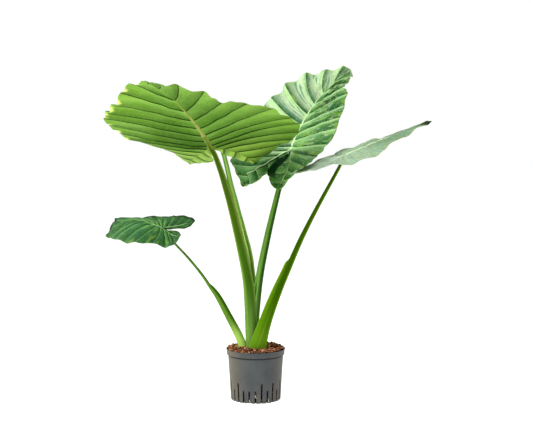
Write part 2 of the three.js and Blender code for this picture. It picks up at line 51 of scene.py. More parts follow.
# ---------- camera ----------
# A scratch program solved the sideways place, the pitch and the lens from the pot's place and size in the
# photo. The distance of 4 m is an assumption, and so is the angle onto the rim, which gives the height.

CAMERA_PLACE = (40.27, -4000.0, 960.28)  # in millimetres
CAMERA_PITCH = 3.706  # degrees below level
SENSOR_WIDTH = 36.0
LENS = 73.2

# ---------- studio light ----------

BACKDROP_TOP = (0.14, 0.40)  # sines of the heights where the white backdrop begins and ends to fade
CEILING = 0.22
FLOOR_GLOW = 0.9
SOFT_BOXES = [  # name, place, size and power in watts
    ("key", (-2.4, -2.4, 2.7), 1.6, 100),
    ("sheen", (-2.6, 0.2, 3.1), 1.8, 85),
    ("top", (0.6, 0.2, 3.4), 1.6, 35),
]

# ---------- leaf blades: the part's own values ----------
# Station 0 is the tip, 13 the end of a lobe and 17.5 the bottom of the notch. Whole stations are side veins.

LAST_STATION = 17.5
LOBE_END = 13
STALK_STATION = 8.5
MIDRIB_ROOTS = [1, 0.8, 0.64, 0.5, 0.375, 0.265, 0.17, 0.09, 0.03]
LOBE_ROOTS = [1, 0.78, 0.5, 0.25, 0.06, 0]
EDGE_ALONG = [
    1, 0.945, 0.86, 0.755, 0.635, 0.5, 0.355, 0.2, 0.045,
    -0.16, -0.4, -0.64, -0.86, -1, -0.95, -0.74, -0.47, -0.22, 0.02,
]
EDGE_ACROSS = [
    0, 0.085, 0.25, 0.46, 0.66, 0.82, 0.93, 0.985, 1,
    0.985, 0.935, 0.82, 0.65, 0.42, 0.22, 0.12, 0.065, 0.03, -0.03,
]
BASAL_BEND = (-0.35, 0.27)
BASAL_END = (-0.82, 0.42)
VEIN_BOW = 0.1
WAVE_VEINS = 2.6
TIP_CURL_FROM = 0.75
HALF_THICKNESS = 0.5  # a little under the part's, with the ribs and grooves added to it
SPINE_STEPS = 240

# For the four blades that the photo shows, a scratch program fitted these values to points read off it, and
# they were then rounded and partly changed by hand.
BLADES = {
    "blade_front_left": dict(
        stalk=(-163, -47, 934), length=655, lobe=310, half_width=325,
        heading=(-101, -111), rise=(24, 18), roll=(24, -3), tip_curl=-26,
        lobe_turn=10, lobe_rise=24, lobe_roll=-3,
        left=dict(fold=(0, 11, 18), curl=(-3, -28, 24), reach=(0.69, 1, 1, 0.9), lift=(-4, -25, -15, 50)),
        right=dict(
            fold=(-2, 33, 17), curl=(-37, -2, 19), reach=(1.07, 1.08, 0.96, 0.85), lift=(5, 20, -8, 30),
        ),
        bulge=7, wave=9, phase=(0.7, 0.4), rib=4.5,
    ),
    "blade_upper_right": dict(
        stalk=(134, 200, 928), length=410, lobe=198, half_width=305,
        heading=(20, 37), rise=(69, 31), roll=(18, 48), tip_curl=-25,
        lobe_turn=6, lobe_rise=58, lobe_roll=14,
        left=dict(fold=(-13, 8, -5), curl=(-47, 6, 5), reach=(0.95, 0.84, 1.1, 0.95), lift=(4, -60, 5, 60)),
        right=dict(fold=(8, 21, 13), curl=(1, 2, 36), reach=(0.7, 0.7, 1, 0.9), lift=(5, -45, 0, 50)),
        bulge=5, wave=9, phase=(0.86, 0.1), rib=3.5,
    ),
    "blade_right": dict(
        stalk=(319, -18, 906), length=345, lobe=175, half_width=175,
        heading=(-4, -26), rise=(23, 20), roll=(9, 20), tip_curl=0,
        lobe_turn=-13, lobe_rise=15, lobe_roll=9,
        left=dict(fold=(-1, -2, 2), curl=(-2, 1, 0), reach=(0.6, 0.85, 1, 1), lift=(-12, -4, 0, 0)),
        right=dict(fold=(-6, -1, 1), curl=(-4, -2, 3), reach=(0.9, 0.95, 0.9, 1), lift=(0, -5, 5, -5)),
        bulge=3.5, wave=5, phase=(0, 0.7), rib=3,
    ),
    "blade_left_small": dict(
        stalk=(-347, -4, 641), length=225, lobe=105, half_width=125,
        heading=(203, 186), rise=(24, -38), roll=(-21, -18), tip_curl=-8,
        lobe_turn=-45, lobe_rise=-10, lobe_roll=-22,
        left=dict(fold=(-16, -8, 6), curl=(3, -5, 6), reach=(1.15, 1, 1, 0.9), lift=(-5, 0, 0, 5)),
        right=dict(fold=(-8, -3, 10), curl=(-15, -3, 2), reach=(1, 0.9, 1, 1.05), lift=(5, -5, 5, 0)),
        bulge=2.5, wave=4, phase=(0.5, 0.2), rib=2.2,
    ),
    "blade_back": dict(
        stalk=(-168, 304, 985), length=270, lobe=140, half_width=126,
        heading=(122, 108), rise=(-4, -16), roll=(0, 6), tip_curl=0,
        lobe_turn=4, lobe_rise=-2, lobe_roll=0,
        left=dict(fold=(6, 9, 5), curl=(-18, -16, -4), reach=(1, 1, 1, 1), lift=(0, 0, 0, 0)),
        right=dict(fold=(6, 9, 5), curl=(-18, -16, -4), reach=(1, 1, 1, 1), lift=(0, 0, 0, 0)),
        bulge=3, wave=4, phase=(0.8, 0.5), rib=2.8,
    ),
}

# What the fine net adds to each blade.
# crease: how sharply panels meet at the veins, on the left half and on the right.
# frill: the height of the margin's small waves. drip: the length of the tip's point.
# teeth: how far the margin stands out at each vein's end, as a share of the half blade.
# skew: above 1 a panel is highest towards its lobe side, below 1 towards its tip side.
# The pulls draw the margin of each half, and the midrib, aside from the part's own line: station, then
# millimetres along X, Y and Z. The basal pulls do the same for the basal veins, from their ends (0) to the
# stalk. The leans move the veins' ends towards the tip: station, then how many stations.
# Over half of the left_pull and right_pull entries are as a scratch program printed them, from margin points
# read off the photo. The others were chosen or changed.
STILL = [(0, 0, 0, 0), (1, 0, 0, 0)]
UPRIGHT = [(0, 0), (1, 0)]
AS_THE_PART = dict(
    left_pull=STILL, right_pull=STILL, rib_pull=STILL, left_basal=STILL, right_basal=STILL,
    left_lean=UPRIGHT, right_lean=UPRIGHT,
)
FINE = {
    "blade_front_left": dict(
        AS_THE_PART,
        per_vein=20, rows=42, crease=(7.5, 7.5), skew=0.75, crinkle=1.6, frill=1.2, teeth=0.006, drip=6,
        left_pull=[
            (0, 14, 0, 6), (0.25, 10, 0, 9), (0.5, 7, 0, 11), (0.75, 2, 0, 5), (1, -4, 0, -2),
            (1.5, -14, 0, -12), (2, -10, 0, 6), (2.5, -6, 0, 6), (3, 3, 0, 15), (3.5, 0, 0, -3),
            (4, -10, 0, -17), (4.5, -10, 0, 3), (5, -5, 0, 12), (5.5, -5, 0, 16), (6, 2, 0, 7),
            (6.5, -2, 0, -12), (7, 3, 0, -12), (8, 2, 0, 3), (8.5, 2, 0, -7), (9, 2, 0, -20),
            (9.5, -2, 0, -22), (10, -10, 0, -10), (11, -10, 0, 4), (11.5, -7, 0, -5), (12, -3, 0, -12),
            (12.4, -6, 0, -4), (12.6, -4, 0, -6), (13, 4, 0, -6), (13.2, 7, 0, -1), (13.5, 13, 0, 7),
            (13.8, 12, 0, 10), (14, 9, 0, 8), (14.2, 10, 0, -2), (14.8, 6, 0, 3), (15, 4, 0, 8),
            (15.5, 4, 0, 8), (16, 7, 0, 10), (16.5, 8, 0, 12), (17, 9, 0, 13), (17.5, 0, 0, 0),
        ],
        right_pull=[
            (0, 14, 0, 6), (0.25, 12, 0, 0), (0.5, 10, 0, 3), (0.7, 10, 0, 12), (0.85, 10, 0, 19),
            (1.15, 2, 0, 18), (1.5, -3, 0, 4), (1.8, -5, 0, 0), (2.15, -12, 0, 2), (2.35, -14, 0, -1),
            (2.6, -7, 0, -2), (2.8, 1, 0, 2), (3, -2, 0, 5), (3.2, -2, 0, 4), (3.5, 6, 0, 5),
            (3.75, 17, 0, 2), (4, 16, 0, -3), (4.15, 14, 0, 1), (4.3, 9, 0, 6), (4.5, 9, 0, 0),
            (4.8, 17, 0, -8), (5, 16, 0, -12), (5.15, 14, 0, -1), (5.3, 6, 0, 10), (5.5, 3, 0, 12),
            (5.75, 6, 0, 9), (6, 0, 0, 7), (6.5, 2, 0, -3), (6.75, 4, 0, -3), (7, 4, 0, -10),
            (7.3, 5, 0, -20), (7.6, 6, 0, -12), (8, 7, 0, -10), (8.5, -8, 0, -3), (8.8, -13, 0, -5),
            (9.5, -13, 0, -4), (10, -12, 0, -7), (10.5, -12, 0, 1), (11, -7, 0, 13), (11.5, -12, 0, 20),
            (12, -12, 0, 16), (12.2, -22, 0, 10), (12.5, -22, 0, 0), (12.7, -14, 0, -10), (13, 1, 0, -16),
            (13.3, 2, 0, -3), (13.6, 3, 0, 11), (14, 5, 0, 16), (14.5, 11, 0, 1), (15, 16, 0, -6),
            (16, 2, 0, 8), (17.5, 0, 0, 0),
        ],
        rib_pull=[(0, 14, 0, 6), (1, -12, 0, 0), (2, -2, 0, 2), (3, 0, 0, 0)],
    ),
    "blade_upper_right": dict(
        AS_THE_PART,
        per_vein=20, rows=42, crease=(9, 6.5), skew=1.25, crinkle=3, frill=1.5, teeth=0.008, drip=10,
        left_pull=[
            (0, 18, 0, -2), (0.5, 20, 0, 22), (1, 8, 0, 23), (1.5, -2, 0, 2), (2, 5, 0, 11),
            (2.5, 0, 0, -5), (3, 6, 0, 7), (3.5, 3, 0, -14), (4, -9, 0, -6), (4.5, 3, 0, -5),
            (5, -19, 0, 3), (5.5, -19, 0, 9), (6, -12, 0, 14), (7, 0, 0, 0), (9, 0, 0, 0),
            (10, -11, 0, 0), (10.5, -16, 0, 8), (11, -1, 0, 12), (11.3, 6, 0, 8), (11.6, 4, 0, 7),
            (12, 1, 0, 12), (12.3, -2, 0, 12), (12.6, -6, 0, 10), (12.85, -9, 0, 1), (13, -6, 0, -6),
            (13.3, 4, 0, 4), (13.6, 13, 0, -3), (14, 16, -4, 0), (14.3, 14, -6, -1), (14.6, 9, -8, 6),
            (15, 4, -10, 6), (15.3, -7, -12, 10), (15.6, -3, -14, 3), (15.9, 3, -14, -8),
            (16.1, 6, -14, -1), (16.3, 3, -14, 4), (16.6, 9, -12, -5), (16.8, 12, -10, -1),
            (17, 3, -8, 12), (17.25, 3, -4, 12), (17.5, 0, 0, 0),
        ],
        right_pull=[
            (0, 18, 0, -2), (0.5, 11, 0, 7), (1, 5, 0, -8), (1.5, -6, 0, -4), (2, -16, 0, 5),
            (2.5, 0, 0, 5), (3, 6, 0, 4), (4, 1, 0, 5), (5, -4, 0, -3), (5.5, 2, 0, -10), (6, 2, 0, -6),
            (7, -6, 0, -3), (7.5, -3, 0, -9), (8, 6, 0, -16), (8.5, 6, 0, -14), (9, -8, 0, -13),
            (9.5, -17, 0, -9), (10, -12, 0, -6), (10.5, -4, 0, -5), (11, -4, 0, -6), (11.3, -5, 0, -3),
            (11.6, -12, 0, 3), (12, -8, 0, 5), (12.3, 1, 0, -1), (12.6, 11, 0, 0), (13, 18, 0, -4),
            (13.3, 14, 0, -5), (13.6, 6, 0, 2), (14, -1, 5, 12), (14.4, -12, 12, 21), (14.8, -27, 20, 24),
            (15.1, -27, 26, 22), (15.5, -23, 30, 22), (16, -9, 30, 24), (16.5, -8, 24, 24),
            (17, -5, 14, 18), (17.5, 0, 0, 0),
        ],
        rib_pull=[(0, 5, 0, 16), (1, 3, 0, 2), (2, 0, 0, 0)],
        left_basal=[(0, -34, 0, 34), (1, -27, 0, 18), (2, -18, 0, 5), (3, -9, 0, 2), (4.5, 0, 0, 0)],
        right_basal=[(0, -21, 0, 11), (1, -21, 0, 0), (2, -12, 0, -12), (3, -3, 0, -8), (4.5, 0, 0, 0)],
        right_lean=[
            (0, 0), (1, 0.4), (2, 0.8), (3, 0.9), (4, 1.1), (6, 1.2), (7, 1.2), (8, 0.7), (9, 0.4),
            (10, 0.1), (11, 0),
        ],
    ),
    "blade_right": dict(
        AS_THE_PART,
        per_vein=12, rows=30, crease=(2, 2), skew=1, crinkle=1.2, frill=1, teeth=0.006, drip=14,
        left_pull=[
            (0, 5, 0, -2), (2, 2, 0, 8), (3, 0, 0, 0), (8, 0, 0, -2), (9, 0, 0, -5), (10, 0, 0, 2),
            (11, -1, 0, -7), (13, -1, 0, -8), (14, 0, 0, 0),
        ],
        right_pull=[
            (0, 5, 0, -2), (1, 4, 0, -8), (2, 0, 0, 2), (5, 0, 0, 4), (6, 0, 0, -5), (7, 0, 0, 0),
            (10, 0, 0, 4), (11, -1, 0, 2), (12, 0, 0, 0), (12.5, -7, 0, 4), (13, -20, 0, 5),
            (13.5, -24, 0, 4), (14, -11, 0, 6), (14.5, -4, 0, 7), (15, -2, -4, 12), (15.5, -1, -6, 22),
            (16, 0, -6, 27), (16.5, 1, -4, 22), (17, 0, 0, 10), (17.5, 0, 0, 0),
        ],
        rib_pull=[(0, 5, 0, -2), (1, 0, 0, 0)],
    ),
    "blade_left_small": dict(
        AS_THE_PART,
        per_vein=12, rows=28, crease=(0.9, 0.9), skew=1, crinkle=0.6, frill=0.4, teeth=0.003, drip=4,
        left_pull=[
            (0, 3, 0, 0), (1, 0, 0, -6), (2, 0, 0, -10), (3, 0, 0, 0), (4, 0, 0, -6), (5, 0, 0, 0),
            (6, -1, 0, 3), (7, -1, 0, -3), (10, 2, 0, -2), (12, 5, 0, 1), (12.5, -1, 0, -1),
            (13, -10, 0, 0), (13.5, -16, 0, 5), (14, -19, 0, 5), (15, -20, 0, 2), (16, -14, 0, 6),
            (17.5, 0, 0, 0),
        ],
        right_pull=[
            (0, 3, 0, 0), (1, 0, 0, 0), (3, -2, 0, 4), (3.5, -12, 0, 12), (4, -9, 0, 10), (5, -4, 0, -10),
            (6, 0, 0, -8), (7, 3, 0, 0), (9, 0, 0, 4), (10, -4, 0, -1), (10.3, -7, 0, -6),
            (10.7, -6, 0, -3), (11, 2, 0, -1), (12, 5, 0, 3), (13, 9, 0, -1), (14, 2, 0, 4),
            (14.5, 1, 0, 6), (15, 0, 0, 2), (16, -1, 0, 1), (17.5, 0, 0, 0),
        ],
        rib_pull=[(0, 3, 0, 0), (1, 0, 0, 9), (2, 0, 0, 16), (3, 0, 0, 15), (4, 0, 0, 10), (6, 0, 0, 0)],
        left_basal=[(0, -10, 0, 3), (1, -8, 0, 2), (3, 0, 0, 0)],
        left_lean=[
            (0, 0), (1, 0.6), (2, 1.4), (3, 2.1), (4, 2.6), (5, 2.8), (6, 2.6), (7, 2.2), (8, 1.2),
            (9, 0.3), (10, 0),
        ],
    ),
    "blade_back": dict(
        AS_THE_PART,
        per_vein=10, rows=24, crease=(2.6, 2.6), skew=1, crinkle=0.8, frill=2, teeth=0.012, drip=8,
    ),
}
MARGIN_PULL = 2.5  # how closely a margin's pull keeps to the margin
BED_OF_ROWS = (0, 0.003, 0.006, 0.01, 0.014, 0.019, 0.025, 0.034, 0.047)  # close rows that shape the midrib

# ---------- stalks: the part's own stations, but for three in the middle of the front stalk ----------
# Those three are slimmer and up to 2 mm aside. The sheaths have values of their own.
# Stations: x, y, z, half width along X, half depth along Y. Their first values were worked out by a scratch
# program from centres and widths read off the photo, and then moved by hand.
# Sheath: the way it faces, its tip's height, its wings and the length over which it opens.

STALKS = {
    "petiole_upper_right": dict(
        blade="blade_upper_right",
        stations=[
            (-6, 22, 149.5, 19, 17), (-7, 26, 200, 18.5, 17), (-7, 42, 254, 17.5, 16),
            (12, 94, 434, 15, 14), (45, 152, 598, 13, 12.5), (85, 214, 760, 10.5, 10.5),
            (109, 247, 850, 9, 9), (134, 244, 908, 8, 8), (138, 213, 930, 7.5, 7.5),
            (123, 186, 942, 7, 7),
        ],
        sheath=(235, 430, 4, 40),
    ),
    "petiole_back": dict(
        blade="blade_back",
        stations=[
            (-16, 46, 149.5, 18, 16), (-16, 50, 200, 17.5, 16), (-15, 78, 330, 16, 15.5),
            (-31, 131, 504, 15, 15), (-52, 168, 601, 14, 14), (-78, 209, 711, 12, 12.5),
            (-99, 241, 788, 10.5, 11), (-128, 283, 904, 8.5, 9), (-160, 302, 972, 7.5, 7.5),
            (-174, 308, 1000, 7, 7),
        ],
        sheath=(-38, 690, 8, 190),
    ),
    "petiole_front_left": dict(
        blade="blade_front_left",
        stations=[
            (-15, -7, 149.5, 21, 19), (-15, -8, 202, 22, 20), (-21, -17, 372, 21.5, 20),
            (-34, -25, 481, 19, 19.5), (-78, -38, 681, 15, 17), (-116, -45, 818, 11.5, 13),
            (-138, -47, 883, 9.8, 10.5), (-156, -49, 930, 8.8, 9.5), (-166, -52, 965, 8.5, 9),
        ],
        sheath=(60, 520, 3, 30),
    ),
    "petiole_left_small": dict(
        blade="blade_left_small",
        stations=[
            (-43, -4, 149.5, 16, 15), (-48, -4, 194, 15.5, 15), (-65, -3, 240, 14.5, 14),
            (-102, -2, 310, 12, 12.5), (-140, -1, 380, 9.5, 10.5), (-169, 0, 420, 6.5, 7),
            (-198, 0, 463, 5.3, 6), (-248, 0, 525, 4.6, 5), (-298, -1, 579, 4.2, 4.6),
            (-336, -3, 620, 3.8, 4.2), (-349, -4, 646, 3.6, 4), (-355, -5, 664, 3.6, 4),
        ],
        sheath=(20, 426, 5, 12),
    ),
    "petiole_right": dict(
        blade="blade_right",
        stations=[
            (8, -32, 149.5, 34, 22), (9, -34, 203, 32, 22), (37, -32, 292, 22, 18),
            (79, -28, 400, 16.5, 14), (119, -25, 490, 12.5, 12), (168, -21, 601, 10, 10.5),
            (226, -19, 715, 8, 9.5), (291, -18, 834, 6.8, 7.3), (315, -18, 880, 6.2, 6.5),
            (337, -17, 930, 6, 6),
        ],
        sheath=(176, 520, 10, 14),
    ),
}
STALK_SIDES = 48
STALK_STEP = 6.0  # mm along the stalk between rings
SHEATH_FOOT = 150  # a sheath opens over the 200 mm above this height, from a quarter to the full
NECK = 34.0  # mm below the blade where a stalk begins to turn into the midrib
STALK_RUN = 0.16  # how far a stalk runs on under the midrib, as a share of the blade's length
SUNK = 0.6  # how far the stalk's top stays under the blade's middle, as a share of the rib's height

# ---------- pot and granules: the pot is the part's own, with longer and wider slots ----------

POT = dict(
    height=190, rim_radius=110, rim_base_radius=106, collar=22, neck_radius=103, foot_radius=92.5,
    wall=2.4, floor=3, slots=26, slot_reach=11,
)
LONG_ROW = 8  # rows of the pot's profile at which the slots end
SHORT_ROW = 7
LONG_TOP = 73  # the heights at which they end
SHORT_TOP = 46
SLOT_WIDTH = 6.6
NOTCH_HEIGHT = 2.6
NOTCH_TURN = 0.12  # half the notch's width, in radians round the foot
BED_LEVEL = 176
BED_TOP = 195  # the heaped granules, just above the rim
BED_CROWN = 7
GRANULE_RADIUS = (3.6, 6.2)
TOP_GRANULES = (340, 330)  # in the upper layer and in the one that fills its gaps
LOWER_LAYER = 8  # how far the second layer lies below the first
JITTER = 3.5  # how far a granule may lie above or below its layer
SETTLING_STEPS = 80


# ---------- numbers ----------


def mix(low, high, share):
    return low + (high - low) * share


def bezier(p0, p1, p2, t):
    return (1 - t) ** 2 * p0 + 2 * t * (1 - t) * p1 + t * t * p2


def through(values, place):
    """A smooth curve (Catmull-Rom) through evenly spaced values, read at places 0 to n-1."""
    values = np.asarray(values, float)
    last = len(values) - 1
    at = np.clip(place, 0, last)
    i = np.minimum(np.floor(at).astype(int), last - 1)
    f = at - i
    before = values[np.maximum(i - 1, 0)]
    start = values[i]
    end = values[i + 1]
    after = values[np.minimum(i + 2, last)]
    linear = end - before
    square = 2 * before - 5 * start + 4 * end - after
    cubic = 3 * start - before - 3 * end + after
    return 0.5 * (2 * start + linear * f + square * f**2 + cubic * f**3)


def between(values, place):
    """Straight interpolation through evenly spaced values."""
    return np.interp(place, np.arange(len(values)), values)


def smooth_noise(x, y, seed):
    """Soft random hills, about one unit apart, between -1 and 1."""
    random = np.random.default_rng(seed)
    total = np.zeros(np.broadcast(x, y).shape)
    for _ in range(7):
        turn = random.uniform(0, 2 * math.pi)
        pace = random.uniform(1.2, 3.6)
        start = random.uniform(0, 2 * math.pi)
        total = total + np.sin(pace * (x * math.cos(turn) + y * math.sin(turn)) + start)
    return total / 4


# ---------- the blade's form ----------

HALVES = {1: "left", -1: "right"}


def basal_place(station):
    """A station's place on its basal vein, from the vein's end (0) to the stalk (5)."""
    beyond = np.abs(station - LOBE_END)
    return np.where(beyond <= 4, beyond, 4 + (beyond - 4) * 2)


def vein_root(station):
    """Where a vein leaves the midrib or the basal vein, as shares of the blade's sizes along and across."""
    basal = np.where(station >= STALK_STATION, between(LOBE_ROOTS, basal_place(station)), 0)
    last_root = MIDRIB_ROOTS[-1] * (1 - (station - 8) * 2)
    on_basal = bezier(0, BASAL_BEND[0], BASAL_END[0], basal)
    behind_last = np.where(station < STALK_STATION, last_root, on_basal)
    along = np.where(station <= 8, between(MIDRIB_ROOTS, station), behind_last)
    return along, bezier(0, BASAL_BEND[1], BASAL_END[1], basal)


def margin_place(station, reach):
    """Where the margin is at a station, as shares of the blade's sizes along and across."""
    root_along, root_across = vein_root(station)
    stretch = through((1, *reach, 1), station / LAST_STATION * 5)
    along = root_along + (through(EDGE_ALONG, station) - root_along) * stretch
    closing = np.clip((LAST_STATION - station) * 2, 0, 1)
    return along, closing * (root_across + (through(EDGE_ACROSS, station) - root_across) * stretch)


def outline(station, at_margin, outward, reach):
    """Flat places from skeleton to margin. A vein that leans meets the margin at another station."""
    root_along, root_across = vein_root(station)
    edge_along, edge_across = margin_place(at_margin, reach)
    bowed = np.clip(station, 0, 1) * np.clip((LOBE_END - station) / 5, -0.3, 1)
    bow = VEIN_BOW * bowed * np.abs(edge_across - root_across)
    along = bezier(root_along, (root_along + edge_along) / 2 - bow, edge_along, outward)
    across = bezier(root_across, (root_across + edge_across) / 2, edge_across, outward)
    return along, across


def directions(heading, rise, roll):
    """The midrib's own directions, for arrays of angles in radians: along it, across it, and up from it."""
    along = np.stack([np.cos(rise) * np.cos(heading), np.cos(rise) * np.sin(heading), np.sin(rise)], -1)
    level = np.stack([-np.sin(heading), np.cos(heading), 0 * heading], -1)
    upright = np.cross(along, level)
    turn = roll[..., None]
    across = level * np.cos(turn) + upright * np.sin(turn)
    up = upright * np.cos(turn) - level * np.sin(turn)
    return along, across, up


def spine_of(blade):
    """Reads place, along, across and up along the midrib: -1 at the lobes, 0 at the stalk, 1 at the tip."""

    def walk(frame_at, step):
        middles = (np.arange(SPINE_STEPS) + 0.5) / SPINE_STEPS
        ends = np.arange(SPINE_STEPS + 1) / SPINE_STEPS
        moves = frame_at(middles)[0] * step
        places = np.array(blade["stalk"], float) + np.vstack([np.zeros(3), np.cumsum(moves, 0)])
        return np.concatenate([places, *frame_at(ends)], 1)

    def front_frame(share):
        curled = blade["tip_curl"] * np.clip((share - TIP_CURL_FROM) / (1 - TIP_CURL_FROM), 0, 1)
        heading = np.radians(mix(*blade["heading"], share))
        rise = np.radians(mix(*blade["rise"], share) + curled)
        return directions(heading, rise, np.radians(mix(*blade["roll"], share)))

    def back_frame(share):
        heading = np.radians(blade["heading"][0] + blade["lobe_turn"] * share)
        rise = np.radians(mix(blade["rise"][0], blade["lobe_rise"], share))
        return directions(heading, rise, np.radians(mix(blade["roll"][0], blade["lobe_roll"], share)))

    front = walk(front_frame, blade["length"] / SPINE_STEPS)
    back = walk(back_frame, -blade["lobe"] / SPINE_STEPS)
    table = np.concatenate([back[:0:-1], front])
    shares = np.linspace(-1, 1, 2 * SPINE_STEPS + 1)

    def read(share):
        found = np.stack([np.interp(share, shares, column) for column in table.T], -1)
        return found[..., 0:3], found[..., 3:6], found[..., 6:9], found[..., 9:12]

    return read


def margin_shape(station, side, fine):
    """How far the margin stands out, as a share of the half blade: fullest at each vein's end."""
    in_play = np.clip(station, 0, 1) * np.clip((LAST_STATION - 1 - station) / 2, 0, 1)
    tooth = np.cos(2 * math.pi * station) - 0.3
    uneven = 0.5 * smooth_noise(station * 1.7, side, 5)
    return fine["teeth"] * in_play * (tooth + uneven)


def pulled(pulls, station):
    """The pull along X, Y and Z at a station, easing from one named station to the next."""
    marks, *pull = np.array(pulls, float).T
    place = np.interp(station, marks, np.arange(len(marks)))
    whole = np.floor(place)
    eased = whole + (1 - np.cos(math.pi * (place - whole))) / 2
    order = np.arange(len(marks))
    return np.stack([np.interp(eased, order, axis) for axis in pull], -1)


def blade_surface(blade, fine, side, station, outward):
    """Points of the middle surface on a net of stations by rows, on the left half (1) or the right (-1)."""
    name = HALVES[side]
    half = blade[name]
    k = 0 if side > 0 else 1
    at_margin = margin_station(fine, side, station)
    spread = outward * (1 + margin_shape(at_margin, side, fine) * outward**5)
    along, across = outline(station, at_margin, spread, half["reach"])
    along = along + fine["drip"] / blade["length"] * np.clip(1 - station / 0.4, 0, 1) ** 2
    place, _, sideways, up = spine_of(blade)(along)
    to_tip = np.clip(along, 0, 1)
    to_lobe = np.clip(-along, 0, 1)

    def pick(values):
        tip, stalk, lobe = values
        return np.radians(stalk + (tip - stalk) * to_tip + (lobe - stalk) * to_lobe)

    fold = pick(half["fold"])[..., None]
    curl = (pick(half["curl"]) * across)[..., None]
    angle = fold + curl * (np.arange(8) + 0.5) / 8
    out = np.cos(angle).mean(-1) * across * blade["half_width"]
    raised = np.sin(angle).mean(-1) * across * blade["half_width"]
    lift = through((0, *half["lift"], 0), mix(station, at_margin, outward) / LAST_STATION * 5) * outward**2
    near_ends = np.clip(station, 0, 1) * np.clip(LAST_STATION - station, 0, 1)
    calm = np.clip(station / 2.5, 0, 1) ** 2 * (1 - 0.8 * np.clip((station - 9) / 2, 0, 1))
    arch = np.sin(math.pi * outward**0.8)
    panel = blade["bulge"] * np.sin(math.pi * station) ** 2 * arch
    within = np.mod(station, 1) ** fine["skew"]
    crease = fine["crease"][k] * (np.sin(math.pi * within) - 0.6) * np.sin(math.pi * outward**0.7) ** 0.8
    swing = np.sin(2 * math.pi * (at_margin / WAVE_VEINS + blade["phase"][k]))
    wave = blade["wave"] * swing * outward**3
    flutter = np.cos(2 * math.pi * station + 1.1 * side + smooth_noise(station, side, 3))
    frill = fine["frill"] * flutter * outward**5
    crinkle = fine["crinkle"] * smooth_noise(station * 3.1, outward * 9 + 3 * side, 11) * np.sqrt(arch)
    height = raised + lift + near_ends * (calm * (0.5 * panel + crease + crinkle) + wave + frill)
    flat = place + sideways * (side * out)[..., None] + up * height[..., None]
    near_margin = (outward**MARGIN_PULL)[..., None]
    near_rib = ((1 - outward) ** 2)[..., None]
    root_station = np.interp(along, MIDRIB_ROOTS[::-1], np.arange(8, -1, -1.0))
    on_lobe = (station >= STALK_STATION)[..., None]
    aside = pulled(fine[name + "_pull"], at_margin) * near_margin
    aside = aside + pulled(fine["rib_pull"], root_station) * near_rib
    return flat + aside + pulled(fine[name + "_basal"], basal_place(station)) * near_rib * on_lobe


def margin_station(fine, side, station):
    """The station at which a vein meets the margin."""
    marks, leans = np.array(fine[HALVES[side] + "_lean"], float).T
    return station - np.interp(station, marks, leans)


def vein_places(per_vein):
    """Stations packed closely at each vein, where its ridge and groove are."""
    steps = np.arange(per_vein) / per_vein
    eased = steps - 0.72 * np.sin(2 * math.pi * steps) / (2 * math.pi)
    whole = np.concatenate([k + eased for k in range(int(LAST_STATION) + 1)])
    return np.append(whole[whole < LAST_STATION - 1e-6], LAST_STATION)


def rib_half_width(blade, station):
    """Half the midrib's width, or the basal vein's beyond the stalk."""
    at_stalk = 1.9 * blade["rib"]
    to_tip = mix(0.22, 1, np.clip(station / STALK_STATION, 0, 1))
    to_lobe = mix(0.16, 0.8, np.clip(np.abs(station - LOBE_END) / (LOBE_END - STALK_STATION), 0, 1))
    return at_stalk * np.where(station <= STALK_STATION, to_tip, to_lobe)


def blade_net(blade, fine, side):
    """One half of a blade: its points, and what the leaf's materials read at each of them."""
    station = vein_places(fine["per_vein"])[:, None]
    even = np.linspace(0.065, 1, fine["rows"])
    outward = np.concatenate([BED_OF_ROWS, even])[None, :]
    station, outward = np.broadcast_arrays(station, outward)
    points = blade_surface(blade, fine, side, station, outward)
    # Distances in millimetres, measured on the net itself.
    row_steps = np.linalg.norm(np.diff(points, axis=1), axis=2)
    from_rib = np.concatenate([np.zeros((len(points), 1)), np.cumsum(row_steps, 1)], 1)
    per_station = np.linalg.norm(np.gradient(points, axis=0), axis=2) / np.gradient(station[:, 0])[:, None]
    from_vein = (station - np.clip(np.round(station), 1, 16)) * per_station
    from_edge = from_rib[:, -1:] - from_rib
    return dict(
        points=points, station=station, outward=outward, side=np.full(station.shape, float(side)),
        from_rib=from_rib, from_vein=from_vein, from_edge=from_edge, pace=per_station,
    )


def relief(blade, net):
    """Heights of the ribs under the blade and depths of the grooves over it, in millimetres."""
    half = rib_half_width(blade, net["station"])
    rib = blade["rib"] * (half / half.max()) * np.clip(1 - (net["from_rib"] / half) ** 2, 0, 1) ** 0.7
    width = mix(0.62, 0.2, net["outward"]) * blade["rib"]
    fade = np.clip(net["station"] * 2, 0, 1) * np.clip(1.15 - net["outward"], 0, 1)
    on_vein = np.exp(-((net["from_vein"] / width) ** 2)) * fade
    ridge = 0.42 * blade["rib"] * on_vein
    groove = 0.3 * blade["rib"] * on_vein + 0.35 * rib
    edge = np.clip(net["from_edge"] / 6, 0.35, 1)
    return HALF_THICKNESS * edge + np.maximum(rib, ridge), HALF_THICKNESS * edge - groove * edge


# ---------- meshes ----------


